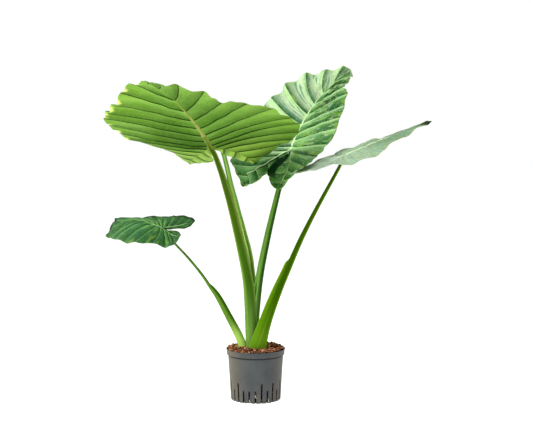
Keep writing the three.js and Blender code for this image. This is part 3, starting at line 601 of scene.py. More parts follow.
def make_piece(name, points, faces, materials, face_material=None, values=None, uv=None, smooth=True):
    """A mesh object in metres from points in millimetres, with named values at its points for materials."""
    mesh = bpy.data.meshes.new(name)
    mesh.from_pydata((np.asarray(points) * MM).tolist(), [], faces)
    for key, numbers in (values or {}).items():
        numbers = np.asarray(numbers, np.float32)
        kind = "FLOAT_VECTOR" if numbers.ndim == 2 else "FLOAT"
        made = mesh.attributes.new(key, kind, "POINT")
        made.data.foreach_set("vector" if numbers.ndim == 2 else "value", numbers.ravel())
    if uv is not None:
        layer = mesh.uv_layers.new(name="OFBake")
        corner = np.zeros(len(mesh.loops), np.int32)
        mesh.loops.foreach_get("vertex_index", corner)
        layer.uv.foreach_set("vector", np.asarray(uv(corner), np.float32).ravel())
    for material in materials:
        mesh.materials.append(material)
    if face_material is not None:
        mesh.polygons.foreach_set("material_index", np.asarray(face_material, np.int32))
    mesh.polygons.foreach_set("use_smooth", [smooth] * len(mesh.polygons))
    mesh.validate()
    piece = bpy.data.objects.new(name, mesh)
    bpy.context.scene.collection.objects.link(piece)
    return piece


def dress(piece, slot, *nodes):
    """The piece rides with the plant and stands for CAD nodes, which it hides. The slot is not used."""
    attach(piece, BODY)
    if nodes:
        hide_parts(*nodes)
    return piece


def grid_faces(rows, columns, start=0, flip=False):
    """Faces of a net of points stored row by row."""
    corner = start + (np.arange(rows - 1)[:, None] * columns + np.arange(columns - 1)[None, :]).ravel()
    order = (0, columns, columns + 1, 1) if flip else (0, 1, columns + 1, columns)
    return np.stack([corner + step for step in order], 1)


def ring_faces(rings, sides, capped=False):
    """Faces between closed rings of points, stored ring by ring, and over both ends where capped."""
    ring = np.arange(rings - 1)[:, None] * sides
    here = np.arange(sides)[None, :]
    after = (here + 1) % sides
    faces = np.stack([ring + here, ring + after, ring + after + sides, ring + here + sides], -1)
    faces = faces.reshape(-1, 4).tolist()
    if capped:
        faces.append(list(range(sides))[::-1])
        faces.append([(rings - 1) * sides + k for k in range(sides)])
    return faces


def flat_places(blade, fine, values):
    """The points' places on the flat blade, as shares of its sizes across and along."""
    flat = np.zeros((len(values["side"]), 2))
    for side, half in HALVES.items():
        chosen = values["side"] == side
        station = values["station"][chosen]
        at_margin = margin_station(fine, side, station)
        along, across = outline(station, at_margin, values["outward"][chosen], blade[half]["reach"])
        flat[chosen] = np.stack([side * across, along], 1)
    return flat


def build_blade(name, materials, slot):
    """A blade: upper and lower faces of one net, set apart by ribs and grooves, with a rim between them."""
    blade = BLADES[name]
    fine = FINE[name]
    nets = [blade_net(blade, fine, side) for side in HALVES]
    rows, columns = nets[0]["station"].shape

    def gather(key):
        return np.concatenate([net[key].reshape(rows * columns, -1) for net in nets])

    points = gather("points")
    under, over = (np.concatenate([relief(blade, net)[k].ravel() for net in nets]) for k in (0, 1))
    faces = np.concatenate([grid_faces(rows, columns), grid_faces(rows, columns, rows * columns, flip=True)])
    # Points that fall together, on the midrib and at the tip, become one.
    rounded = np.round(points * 100).astype(np.int64)
    _, first, same = np.unique(rounded, axis=0, return_index=True, return_inverse=True)
    same = same.ravel()
    faces = same[faces]
    points = points[first]
    place_keys = ("station", "outward", "side")
    distance_keys = ("from_rib", "pace", "from_edge")
    values = {key: gather(key)[first, 0] for key in place_keys + distance_keys}
    by_point = np.argsort(same, kind="stable")
    starts = np.searchsorted(np.sort(same), np.arange(len(first)))
    under = np.maximum.reduceat(under[by_point], starts)
    over = over[first]
    polygons = [list(dict.fromkeys(face)) for face in faces.tolist()]
    polygons = [face for face in polygons if len(face) > 2]
    normals = vertex_normals(points, polygons)
    count = len(points)
    upper = points + normals * over[:, None]
    lower = points - normals * under[:, None]
    rim = open_edges(polygons)
    shell = polygons + [[i + count for i in reversed(face)] for face in polygons]
    shell += [[b, a, a + count, b + count] for a, b in rim]
    face_material = [0] * len(polygons) + [1] * (len(polygons) + len(rim))
    place, distance = (
        np.stack([np.tile(values[key], 2) for key in keys], 1) for keys in (place_keys, distance_keys)
    )
    flat = np.tile(flat_places(blade, fine, values), (2, 1))
    layer = np.repeat([0.0, 1.0], count)

    def uv(corner):
        u = 0.25 + 0.2 * flat[corner, 0] + 0.5 * layer[corner]
        v = 0.5 + 0.42 * flat[corner, 1]
        return np.stack([u, v], 1)

    piece = make_piece(
        "leaf_" + name, np.concatenate([upper, lower]), shell, materials, face_material,
        {"leaf_place": place, "leaf_distance": distance}, uv,
    )
    return dress(piece, slot, name)


def vertex_normals(points, polygons):
    """Unit normals at the points, each face weighing by its area."""
    triangles = np.array([(f[0], f[i], f[i + 1]) for f in polygons for i in range(1, len(f) - 1)])
    a, b, c = (points[triangles[:, k]] for k in range(3))
    across = np.cross(b - a, c - a)
    normals = np.zeros_like(points)
    for k in range(3):
        np.add.at(normals, triangles[:, k], across)
    return normals / np.maximum(np.linalg.norm(normals, axis=1, keepdims=True), 1e-12)


def open_edges(polygons):
    """Edges that only one polygon has, in that polygon's direction."""
    seen = set()
    for face in polygons:
        for a, b in zip(face, face[1:] + face[:1]):
            if (b, a) in seen:
                seen.remove((b, a))
            else:
                seen.add((a, b))
    return sorted(seen)


# ---------- stalks ----------


def stalk_path(stalk):
    """Centres and half sizes along a stalk, which turns into the blade's midrib and thins out under it."""
    blade = BLADES[stalk["blade"]]
    stations = np.array(stalk["stations"], float)
    fine = np.stack([through(stations[:, k], np.linspace(0, len(stations) - 1, 600)) for k in range(5)], 1)
    seat = np.array(blade["stalk"], float)
    spine = spine_of(blade)
    _, along, _, up = spine(np.array(0.0))
    nearest = np.argmin(np.linalg.norm(fine[:, :3] - seat, axis=1))
    before = np.linalg.norm(fine[:nearest, :3] - seat, axis=1) > NECK
    stem = fine[: int(np.nonzero(before)[0].max()) + 1]
    start = stem[-1]
    growth = stem[-1, :3] - stem[-2, :3]
    growth /= np.linalg.norm(growth)
    rib = rib_half_width(blade, np.array(STALK_STATION))
    run = np.linspace(0, 1, 12)[1:, None]
    under_midrib, _, _, upward = spine(run[:, 0] * STALK_RUN)
    tail = under_midrib - upward * (0.75 * blade["rib"])
    tail_size = mix(1.02, 0.45, run) * rib
    turn = np.linspace(0, 1, 14)[1:-1, None]
    seat_low = seat - up * (0.8 * blade["rib"])
    # A cubic curve from the stem's direction to the midrib's.
    handle = 0.55 * NECK
    p1 = start[:3] + growth * handle
    p2 = seat_low - along * handle * 0.5 - up * handle * 0.25
    bend = (
        (1 - turn) ** 3 * start[:3] + 3 * turn * (1 - turn) ** 2 * p1
        + 3 * turn**2 * (1 - turn) * p2 + turn**3 * seat_low
    )
    bend_size = mix(start[3:5], np.array([rib, rib]) * 1.02, turn**1.2)
    places = np.concatenate([stem[:, :3], bend, tail])
    sizes = np.concatenate([stem[:, 3:5], bend_size, np.repeat(tail_size, 2, 1)])
    return resample(places, sizes)


def resample(places, sizes):
    """The same route with rings at an even distance."""
    lengths = np.concatenate([[0], np.cumsum(np.linalg.norm(np.diff(places, axis=0), axis=1))])
    marks = np.linspace(0, lengths[-1], int(lengths[-1] / STALK_STEP) + 1)
    read = [np.interp(marks, lengths, column) for column in np.concatenate([places, sizes], 1).T]
    return np.stack(read[:3], 1), np.stack(read[3:], 1), marks / lengths[-1]


def kept_under(blade, points):
    """Presses the top of a stalk, where it runs along under the midrib, down to just below the blade."""
    seat = np.array(blade["stalk"], float)
    spine = spine_of(blade)
    ahead = (points - seat) @ spine(np.array(0.0))[1] / blade["length"]
    place, _, _, up = spine(np.clip(ahead, 0, 0.2))
    above = ((points - place) * up).sum(-1) + SUNK * blade["rib"]
    near = np.linalg.norm(points - seat, axis=-1) < 0.2 * blade["length"] + NECK
    return points - up * (np.clip(above, 0, None) * near)[..., None]


def sheath_form(stalk, sizes, height, away):
    """How far a stalk's skin stands out from its oval, how open the sheath is and where its edge runs."""
    _, tip_height, wing, taper = stalk["sheath"]
    size = sizes.mean(1, keepdims=True)
    # Two wings with a channel between them, up to the sheath's tip. Above it the channel is only a flat.
    above_foot = np.clip((height - SHEATH_FOOT) / 200, 0.25, 1)
    opened = (np.clip((tip_height - height) / taper, 0, 1) * above_foot) ** 0.7
    edge = np.exp(-(((away - 0.5) / 0.17) ** 2))
    channel = 0.5 * size * np.exp(-((away / 0.36) ** 2))
    flatter = 0.12 * size * np.exp(-((away / 0.6) ** 2))
    return opened * (wing * edge - channel) - (1 - opened) * flatter, opened, edge


def build_stalk(name, material, slot):
    """A stalk: rings along its route, each drawn in where the sheath's channel runs."""
    stalk = STALKS[name]
    centres, sizes, shares = stalk_path(stalk)
    growth = np.gradient(centres, axis=0)
    growth /= np.linalg.norm(growth, axis=1, keepdims=True)
    depthwise = np.array([0, 1.0, 0]) - growth * growth[:, 1:2]
    depthwise /= np.linalg.norm(depthwise, axis=1, keepdims=True)
    widthwise = np.cross(depthwise, growth)
    angle = 2 * math.pi * np.arange(STALK_SIDES) / STALK_SIDES
    turned = angle + math.radians(stalk["sheath"][0])
    away = np.abs((angle + math.pi) % (2 * math.pi) - math.pi)
    stretch, opened, edge = sheath_form(stalk, sizes, centres[:, 2:3], away)
    low_ridges = 0.25 * np.sin(9 * angle + 2 * np.sin(3 * angle))
    stretch = stretch + low_ridges * np.clip(sizes.mean(1, keepdims=True) / 12, 0, 1)
    wide = (sizes[:, 0:1] + stretch) * np.cos(turned)
    deep = (sizes[:, 1:2] + stretch) * np.sin(turned)
    rings = centres[:, None] + widthwise[:, None] * wide[..., None] + depthwise[:, None] * deep[..., None]
    points = kept_under(BLADES[stalk["blade"]], rings).reshape(-1, 3)
    count = len(centres)
    place = np.stack(
        [np.repeat(centres[:, 2], STALK_SIDES), np.tile(turned, count), np.repeat(shares, STALK_SIDES)], 1
    )
    values = {
        "stalk_place": place,
        "stalk_hollow": (opened * np.exp(-((away / 0.42) ** 2))).ravel(),
        "stalk_edge": (np.minimum(3 * opened, 1) * edge).ravel(),
    }

    def uv(corner):
        ring, k = np.divmod(corner, STALK_SIDES)
        order = np.arange(len(corner))
        on_side = order < len(corner) - 2 * STALK_SIDES
        last_face = order // 4 % STALK_SIDES == STALK_SIDES - 1
        around = np.where(on_side & last_face & (k == 0), 1.0, k / STALK_SIDES)
        return np.stack([around, ring / count], 1)

    faces = ring_faces(count, STALK_SIDES, capped=True)
    piece = make_piece("stalk_" + name, points, faces, [material], values=values, uv=uv)
    return dress(piece, slot, name)


# ---------- pot ----------


def build_pot(material):
    """The pot's wall, outside and inside in columns, left open at the slots."""
    outer, inner = pot_profile()
    pitch = 2 * math.pi / POT["slots"]
    half_slot = SLOT_WIDTH / 2 / POT["foot_radius"]
    inside = np.linspace(-half_slot, half_slot, 4)
    wall = np.linspace(half_slot, pitch - half_slot, 8)[1:-1]
    columns = np.concatenate([np.concatenate([inside, wall]) + k * pitch for k in range(POT["slots"])])
    columns = columns - math.pi / 2
    per_slot = len(inside) + len(wall)
    rows = len(outer)
    total = len(columns)

    def ring_points(profile):
        turn = columns[:, None]
        radius = profile[None, :, 0]
        height = profile[None, :, 1]
        at_foot = np.clip(1 - height / 5, 0, 1) * (radius > POT["foot_radius"] - 6)
        z = height + notch_height(turn) * at_foot
        return np.stack([radius * np.cos(turn), radius * np.sin(turn), z + 0 * turn], -1)

    points = np.concatenate([ring_points(outer).reshape(-1, 3), ring_points(inner).reshape(-1, 3)])
    shift = total * rows
    slot_from = 1
    slot_to = {True: LONG_ROW, False: SHORT_ROW}
    faces = []
    for c in range(total):
        index, part = divmod(c, per_slot)
        is_slot = part < len(inside) - 1
        top = slot_to[is_long(index)]
        a = c * rows
        b = ((c + 1) % total) * rows
        for k in range(rows - 1):
            if is_slot and slot_from <= k < top:
                continue
            faces.append([a + k, b + k, b + k + 1, a + k + 1])
            faces.append([shift + a + k + 1, shift + b + k + 1, shift + b + k, shift + a + k])
        faces.append([a + rows - 1, b + rows - 1, shift + b + rows - 1, shift + a + rows - 1])
        if is_slot:
            for k in (slot_from, top):
                faces.append([a + k, b + k, shift + b + k, shift + a + k])
        if part in (0, len(inside) - 1):
            for k in range(slot_from, top):
                faces.append([a + k, a + k + 1, shift + a + k + 1, shift + a + k])
    piece = make_piece("pot_shell", points, faces, [material])
    clean(piece, 0.00001)
    bevel = piece.modifiers.new("moulded_edges", "BEVEL")
    bevel.width = 0.5 * MM
    bevel.segments = 2
    bevel.limit_method = "ANGLE"
    bevel.angle_limit = math.radians(50)
    even = piece.modifiers.new("even_normals", "WEIGHTED_NORMAL")
    even.keep_sharp = True
    return dress(piece, "pot", "culture_pot")


def is_long(index):
    """Long and short slots alternate, but for one short slot left of the front."""
    return index % 2 == 1 and index != POT["slots"] - 1


def notch_height(turn):
    """The shallow arch in the foot's edge, left of the front."""
    middle = -math.pi / 2 - 2 * math.pi / POT["slots"]
    aside = (turn - middle + math.pi) % (2 * math.pi) - math.pi
    return NOTCH_HEIGHT * np.exp(-(aside / NOTCH_TURN) ** 4)


def pot_profile():
    """Pairs of points, outside and inside, from the middle of the floor to the rim, as radius and height."""
    height, foot, wall, floor = POT["height"], POT["foot_radius"], POT["wall"], POT["floor"]
    neck = POT["neck_radius"]
    collar = height - POT["collar"]

    def radius(z):
        return mix(foot, neck, z / collar)

    outer = [(0, 0), (foot - POT["slot_reach"], 0), (foot - 5, 0), (foot - 1.2, 0), (foot, 1.4)]
    inner = [(0, floor), (foot - POT["slot_reach"], floor), (foot - 5.2, floor), (foot - wall - 1, floor)]
    inner.append((foot - wall, floor + 1.2))
    for z in (10, 24, SHORT_TOP, LONG_TOP, 100, 134, collar - 6):
        outer.append((radius(z), z))
        inner.append((radius(z) - wall, z))
    base = POT["rim_base_radius"]
    rim = POT["rim_radius"]
    outer += [
        (neck - 1.2, collar - 3.5), (neck - 1.2, collar), (base + 0.8, collar + 0.2),
        (base + 1.4, collar + 1.2), (base + 1.9, height - 6), (base + 2.1, height - 4),
        (rim, height - 3.2), (rim, height - 0.7), (rim - 0.7, height),
    ]
    inner += [
        (neck - wall - 1.2, collar - 3), (neck - wall - 1, collar + 1), (neck - wall + 0.8, collar + 2.5),
        (neck - wall + 2, collar + 4), (neck - wall + 3, height - 8), (rim - wall - 1, height - 5),
        (rim - wall - 0.4, height - 3), (rim - wall, height - 0.7), (rim - wall + 0.5, height),
    ]
    return np.array(outer, float), np.array(inner, float)


def clean(piece, distance):
    """Merges points that fall together and turns every face outward."""
    mesh = bmesh.new()
    mesh.from_mesh(piece.data)
    bmesh.ops.remove_doubles(mesh, verts=mesh.verts, dist=distance)
    bmesh.ops.recalc_face_normals(mesh, faces=mesh.faces)
    mesh.to_mesh(piece.data)
    mesh.free()


# ---------- clay granules ----------


def ball(subdivisions):
    """Unit ball of triangles."""
    mesh = bmesh.new()
    bmesh.ops.create_icosphere(mesh, subdivisions=subdivisions, radius=1)
    points = np.array([v.co for v in mesh.verts])
    faces = np.array([[v.index for v in face.verts] for face in mesh.faces])
    mesh.free()
    return points, faces


def settled(count, disc_radius, random):
    """Radii and places of granules on a disc, pushed apart until they hardly overlap."""
    radii = random.uniform(*GRANULE_RADIUS, count)
    out = disc_radius * np.sqrt(random.random(count))
    turn = random.uniform(0, 2 * math.pi, count)
    places = np.stack([out * np.cos(turn), out * np.sin(turn)], 1)
    for _ in range(SETTLING_STEPS):
        apart = places[:, None] - places[None]
        distance = np.linalg.norm(apart, axis=2) + np.eye(count) * 1e3
        overlap = np.clip(0.93 * (radii[:, None] + radii[None]) - distance, 0, None)
        places += (apart / distance[..., None] * overlap[..., None] * 0.35).sum(1)
        out = np.linalg.norm(places, axis=1)
        places *= np.minimum(1, (disc_radius - radii) / np.maximum(out, 1e-6))[:, None]
    return radii, places


def granule_mesh(name, centres, radii, subdivisions, material, random):
    """Lumpy granules in one piece. Each has its own tint, and its points hold how high up on it they are."""
    unit, triangles = ball(subdivisions)
    points = []
    tints = []
    raised = []
    for centre, radius in zip(centres, radii):
        stretch = np.array([1, random.uniform(0.8, 1), random.uniform(0.7, 0.95)]) * radius
        lumps = random.normal(size=(6, 3))
        lumps /= np.linalg.norm(lumps, axis=1, keepdims=True)
        swell = 1 + (random.uniform(-0.13, 0.13, 6) * (unit @ lumps.T) ** 3).sum(1)
        turn, _ = np.linalg.qr(random.normal(size=(3, 3)))
        lumpy = unit * swell[:, None] * stretch @ turn.T
        points.append(lumpy + centre)
        tints.append(np.full(len(unit), random.random()))
        raised.append(lumpy[:, 2] / radius)
    faces = np.concatenate([triangles + k * len(unit) for k in range(len(radii))])
    values = {"tint": np.concatenate(tints), "raised": np.concatenate(raised)}
    piece = make_piece(name, np.concatenate(points), faces.tolist(), [material], values=values)
    clean(piece, 1e-7)
    return piece


def build_granules(material, wall_material, dark_material):
    random = np.random.default_rng(41)
    wall_top = POT["height"] - POT["collar"]

    def inner_radius(z):
        return mix(POT["foot_radius"], POT["neck_radius"], np.clip(z / wall_top, 0, 1)) - POT["wall"]

    # Two layers on top: the upper one crowned, the lower one filling its gaps.
    tops = []
    edges = POT["rim_radius"] - POT["wall"] - 1, inner_radius(wall_top) - 0.6
    for count, sink, edge_radius in zip(TOP_GRANULES, (0, LOWER_LAYER), edges):
        radii, places = settled(count, edge_radius, random)
        out = np.linalg.norm(places, axis=1)
        heap = BED_CROWN * (1 - (out / 100) ** 2) + 3 * places[:, 1] / 100
        z = BED_TOP - radii + heap - sink + random.uniform(-JITTER, JITTER, count)
        tops.append((np.column_stack([places, z]), radii))
    upper = granule_mesh("granules_upper", *tops[0], 3, material, random)
    dress(upper, "clay", "clay_granules")
    lower = granule_mesh("granules_lower", *tops[1], 2, dark_material, random)
    dress(lower, "clay", "clay_granules")
    # Against the wall, where the slots show them.
    centres = []
    radii = []
    for z in np.arange(9, 88, 9.5):
        around = int(2 * math.pi * inner_radius(z) / 11.5)
        for k in range(around):
            radius = random.uniform(4.4, 6.4)
            turn = 2 * math.pi * (k + random.uniform(-0.3, 0.3) + 0.5 * (z % 2)) / around
            height = max(z + random.uniform(-2, 2), POT["floor"] + radius + 0.3)
            out = inner_radius(height) - radius - 0.4 - random.uniform(0, 1.5)
            centres.append((out * math.cos(turn), out * math.sin(turn), height))
            radii.append(radius)
    wall = granule_mesh("granules_wall", np.array(centres), np.array(radii), 2, wall_material, random)
    dress(wall, "clay", "clay_granules")
    dress(build_bed_core(dark_material, inner_radius), "clay", "clay_granules")


def build_bed_core(material, inner_radius):
    """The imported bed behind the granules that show."""
    heights = np.linspace(POT["floor"] + 1, BED_LEVEL - 8, 16)
    profile = [(0, heights[0])] + [(inner_radius(z) - 7.5, z) for z in heights] + [(0, BED_LEVEL - 5)]
    sides = 96
    turn = np.arange(sides) * 2 * math.pi / sides
    points = []
    for radius, z in profile:
        rough = 1.4 * smooth_noise(turn * 14, z * 0.4, 29) * (radius > 0)
        out = radius + rough
        points.append(np.stack([out * np.cos(turn), out * np.sin(turn), z + 0 * turn], 1))
    piece = make_piece("bed_core", np.concatenate(points), ring_faces(len(profile), sides), [material])
    clean(piece, 1e-6)
    return piece


def build_root_tips(material):
    """Pale root tips that have grown out through slots at the front of the foot."""
    tips = [
        [(-1, -84, 34), (-2.2, -89, 32), (-1.6, -93.4, 29), (1.5, -94.6, 24), (4.2, -94, 19)],
        [(-22, -82, 14), (-22.6, -87, 12), (-21.2, -92, 9.5), (-19.6, -92.8, 5)],
        [(44, -74, 16), (46.5, -79, 14), (47.2, -82.6, 10), (46.4, -83.2, 6)],
    ]
    for number, route in enumerate(tips):
        places = np.array(route, float)
        marks = np.linspace(0, len(places) - 1, 30)
        centres = np.stack([through(places[:, k], marks) for k in range(3)], 1)
        radius = mix(1.5, 0.5, (np.arange(30) / 29) ** 2)
        piece = make_piece(f"root_tip_{number}", *tube(centres, radius, 12), [material])
        dress(piece, "root")


def tube(centres, radius, sides):
    """A closed round tube along a line of points."""
    growth = np.gradient(centres, axis=0)
    growth /= np.linalg.norm(growth, axis=1, keepdims=True)
    one = np.cross(growth, np.array([1.0, 0, 0]))
    one /= np.linalg.norm(one, axis=1, keepdims=True)
    two = np.cross(growth, one)
    turn = 2 * math.pi * np.arange(sides) / sides
    ring = one[:, None] * np.cos(turn)[None, :, None] + two[:, None] * np.sin(turn)[None, :, None]
    points = (centres[:, None] + ring * np.asarray(radius)[:, None, None]).reshape(-1, 3)
    return points, ring_faces(len(centres), sides, capped=True)


# ---------- materials ----------


def colour(code):
    """Linear colour from an sRGB code such as 7fb53c."""
    parts = [int(code[i : i + 2], 16) / 255 for i in (0, 2, 4)]
    return (*[p / 12.92 if p <= 0.04045 else ((p + 0.055) / 1.055) ** 2.4 for p in parts], 1.0)


GREEN_SPREAD = (0.7, 1.0, 0.35)  # how far red, green and blue light spread under a leaf's skin


class Shading:
    """One material. Each method adds a node and returns its output."""

    def __init__(self, name, **sockets):
        self.material = bpy.data.materials.new(name)
        self.material.use_nodes = True
        self.tree = self.material.node_tree
        self.shader = self.tree.nodes["Principled BSDF"]
        for key, value in sockets.items():
            self.put(value, self.shader.inputs[key.replace("_", " ")])

    def put(self, value, socket):
        if isinstance(value, bpy.types.NodeSocket):
            self.tree.links.new(value, socket)
        else:
            socket.default_value = value

    def node(self, kind, output=0, settings=None, inputs=None):
        made = self.tree.nodes.new("ShaderNode" + kind)
        for key, value in (settings or {}).items():
            setattr(made, key, value)
        for key, value in (inputs or {}).items():
            self.put(value, made.inputs[key])
        return made.outputs[output]

    def read(self, name):
        """The three numbers stored at the mesh's points under a name."""
        return self.parts(self.node("Attribute", "Vector", {"attribute_name": name}))

    def parts(self, vector):
        """A vector's X, Y and Z."""
        split = self.tree.nodes.new("ShaderNodeSeparateXYZ")
        self.put(vector, split.inputs[0])
        return tuple(split.outputs)

    def read_one(self, name):
        return self.node("Attribute", "Fac", {"attribute_name": name})

    def math(self, operation, a, b=0.0):
        return self.node("Math", 0, {"operation": operation}, {0: a, 1: b})

    def times(self, product, *factors):
        for factor in factors:
            product = self.math("MULTIPLY", product, factor)
        return product

    def plus(self, a, b):
        return self.math("ADD", a, b)

    def minus(self, a, b):
        return self.math("SUBTRACT", a, b)

    def ramp(self, value, low, high, start=0.0, end=1.0):
        """Rises smoothly from start to end as value goes from low to high."""
        inputs = {"Value": value, "From Min": low, "From Max": high, "To Min": start, "To Max": end}
        return self.node("MapRange", 0, {"interpolation_type": "SMOOTHSTEP"}, inputs)

    def vector(self, x, y, z=0.0):
        return self.node("CombineXYZ", 0, None, {0: x, 1: y, 2: z})

    def noise(self, vector, scale=1.0, detail=3.0, rough=0.5):
        inputs = {"Vector": vector, "Scale": scale, "Detail": detail, "Roughness": rough}
        return self.node("TexNoise", 0, None, inputs)

    def cells(self, vector, scale=1.0):
        """Distance to the border between neighbouring cells."""
        inputs = {"Vector": vector, "Scale": scale}
        return self.node("TexVoronoi", "Distance", {"feature": "DISTANCE_TO_EDGE"}, inputs)

    def object_place(self):
        return self.node("TexCoord", "Object")

    def mix(self, share, a, b):
        """Colour a where share is 0 and b where it is 1."""
        return self.node("Mix", 2, {"data_type": "RGBA"}, {0: share, 6: a, 7: b})

    def paint(self, share, tone):
        """Lays a colour over the base, as strongly as share says."""
        self.base = self.mix(share, self.base, tone)

    def bump(self, height, strength, distance):
        inputs = {"Strength": strength, "Distance": distance * MM, "Height": height}
        self.put(self.node("Bump", 0, None, inputs), self.shader.inputs["Normal"])

    def finish(self, roughness):
        self.put(self.base, self.shader.inputs["Base Color"])
        self.put(roughness, self.shader.inputs["Roughness"])
        return self.material


class Leaf(Shading):
    """One face of a leaf blade. Tones run along the side veins, and lines mark veins, midrib and margin."""

    def __init__(self, name, look):
        super().__init__(
            name, Subsurface_Weight=look["glow"], Subsurface_Scale=2.2 * MM, Subsurface_Radius=GREEN_SPREAD,
            Specular_IOR_Level=look["gloss"],
        )
        self.look = look
        self.tone = {key: colour(code) for key, code in look["tones"].items()}
        self.station, self.outward, self.side = self.read("leaf_place")
        self.from_rib, pace, self.from_edge = self.read("leaf_distance")
        nearest = self.math("MAXIMUM", self.math("MINIMUM", self.math("ROUND", self.station), 16.0), 1.0)
        self.from_vein = self.times(self.minus(self.station, nearest), pace)
        self.away = self.math("ABSOLUTE", self.from_vein)
        self.within = self.math("FRACT", self.station)
        self.place = self.object_place()
        self.on_left = self.halves((0.0, 1.0))
        self.on_right = self.minus(1.0, self.on_left)
        self.apart = self.times(self.side, 7.0)  # gives each half noise of its own
        self.broad = self.noise(self.place, 9.0, 3.0)
        self.spots = self.noise(self.strand(5.0, 6.0, self.side), 1.3, 5.0, 0.65)
        self.net = self.cells(self.place, 260.0)

    def halves(self, pair):
        """One value on the right half and another on the left half."""
        return self.ramp(self.side, -0.2, 0.2, *pair)

    def strand(self, per_station, per_outward, third):
        """A place for noise that runs with the side veins."""
        along = self.times(self.station, per_station)
        return self.vector(along, self.times(self.outward, per_outward), third)

    def tint(self, share, tone):
        self.paint(share, self.tone[tone])

    def panels(self):
        """Broad patches, strokes that run with the veins, and the tones of the blade's regions, partly
        painted light and shade.
        """
        look = self.look
        strokes = self.noise(self.strand(3.4, 1.3, self.apart), 1.6, 4.0, 0.6)
        blend = self.plus(self.broad, self.times(self.minus(strokes, 0.5), 0.7))
        self.base = self.tone["panel"]
        self.tint(self.ramp(blend, 0.36, 0.66), "light")
        # Painted light on the left half: a pale painted sheen on the upper faces and painted light on the lit
        # underside; on the pale blade, painted shade over its far half.
        self.tint(self.times(self.on_left, look["painted_half_light"]), "painted_half_light")
        self.tint(self.ramp(self.station, 8.6, 11.0, 0.0, look["lobe_share"]), "lobe")
        # Painted shade over the middle of the right half, from station 4 to station 9.
        deep = self.times(self.ramp(self.station, 4.0, 8.0), self.ramp(self.station, 9.4, 8.6), self.on_right)
        self.tint(self.times(deep, look["deep_share"]), "shade")
        # Painted shade towards the tip.
        self.tint(self.times(self.ramp(self.station, 8.0, 3.0), self.halves(look["far_share"])), "shade")
        # Towards the margin: painted shade on the upper faces, painted light on the lit underside.
        outer = self.times(self.ramp(self.outward, 0.3, 0.85), self.ramp(self.station, 9.0, 8.0))
        self.tint(self.times(outer, self.halves(look["outer_share"])), "outer")

    def slopes(self):
        """Painted shade and light: panels darken towards the vein on their lobe side, and shade and light lie
        by each vein.
        """
        look = self.look
        # Painted light by the midrib on the right half, where the painted bands fade out.
        by_rib = self.times(self.ramp(self.outward, 0.55, 0.1), self.on_right, look["rib_calm"])
        banded = self.minus(1.0, by_rib)
        self.tint(self.times(by_rib, 0.3), "light")
        slope = self.times(self.ramp(self.within, 0.25, 1.0), look["slope_share"])
        self.tint(self.times(slope, banded), "shade")
        # Painted shade on the tip's side of the vein, painted light on the lobe's side.
        span = look["shade_width"]
        before = self.times(self.ramp(self.from_vein, -span, -0.8), self.ramp(self.from_vein, 0.6, -0.2))
        wander = self.ramp(self.noise(self.strand(2.0, 3.0, self.apart), 1.4), 0.3, 0.6, 0.45, 1.0)
        self.tint(self.times(before, banded, look["shade_share"], wander), "shade")
        light = look["light_share"]
        after = self.times(self.ramp(self.from_vein, 0.4, 2.0), self.ramp(self.from_vein, 1.6 * span, 3.0))
        self.tint(self.times(after, self.ramp(self.station, 9.0, 11.0, light, 0.35 * light)), "light")

    def streaks(self):
        """Streaks along the veins, blotches, painted glints and sunny bands."""
        look = self.look
        share = look["streak_share"]
        streaked = self.halves((share * look["streak_other"], share))
        streaked = self.times(streaked, self.ramp(self.station, 9.5, 11.0, 1.0, 0.35))
        lines = self.noise(self.strand(4.2, 0.9, self.apart), 1.9, 2.5)
        self.tint(self.times(self.ramp(lines, *look["streak_span"]), streaked), "streak")
        patch = self.times(self.ramp(self.station, 0.8, 1.4), self.ramp(self.station, 5.0, 4.0))
        from_middle = self.math("ABSOLUTE", self.minus(self.outward, 0.5))
        patch = self.times(patch, self.ramp(from_middle, 0.3, 0.12), self.on_right, look["blotch"])
        self.tint(self.times(self.ramp(self.spots, 0.50, 0.54), patch), "blotch")
        # Painted glints: small painted highlights on the right half, in the sheen's tone.
        glints = self.times(self.ramp(self.spots, 0.47, 0.37), self.ramp(self.outward, 0.1, 0.5))
        self.tint(self.times(glints, self.on_right, look["glint"]), "painted_half_light")
        bands = self.noise(self.strand(1.1, 0.9, self.side), 2.4, 1.0)
        sunny = self.ramp(bands, 0.60, 0.70, 0.0, look["sun_share"])
        self.tint(self.times(sunny, self.ramp(self.station, 9.5, 11.0, 1.0, 0.15)), "sun")

    def finest(self):
        """A net of veins, painted highlights on crimps across the blade beside the side veins, and mottling.
        """
        look = self.look
        self.tint(self.ramp(self.net, 0.12, 0.0, 0.0, 0.14), "vein")
        cross = self.noise(self.strand(1.5, 55.0, self.apart), 1.0, 2.0)
        near_vein = self.times(self.ramp(self.away, 14.0, 1.0), self.ramp(self.outward, 0.35, 0.7, 0.25, 1.0))
        self.tint(self.times(near_vein, self.ramp(cross, 0.52, 0.62), look["crimp_share"]), "light")
        mottle = self.noise(self.place, 110.0, 4.0, 0.65)
        self.tint(self.ramp(mottle, 0.52, 0.72, 0.0, look["mottle"]), "light")
        self.tint(self.ramp(mottle, 0.48, 0.28, 0.0, look["mottle"]), "shade")

    def veins(self):
        """Side veins, each a thin dark line with a paler ridge on the lobe's side, its own tone with a
        painted highlight, and the midrib.
        """
        look = self.look
        width = self.times(self.ramp(self.outward, 0.0, 1.0, 1.0, 0.6), look["vein_width"])
        drawn = self.ramp(self.station, 1.2, 1.8)
        line = self.ramp(self.math("DIVIDE", self.away, width), 1.0, 0.4)
        self.tint(self.times(line, drawn, look["vein_share"]), "vein")
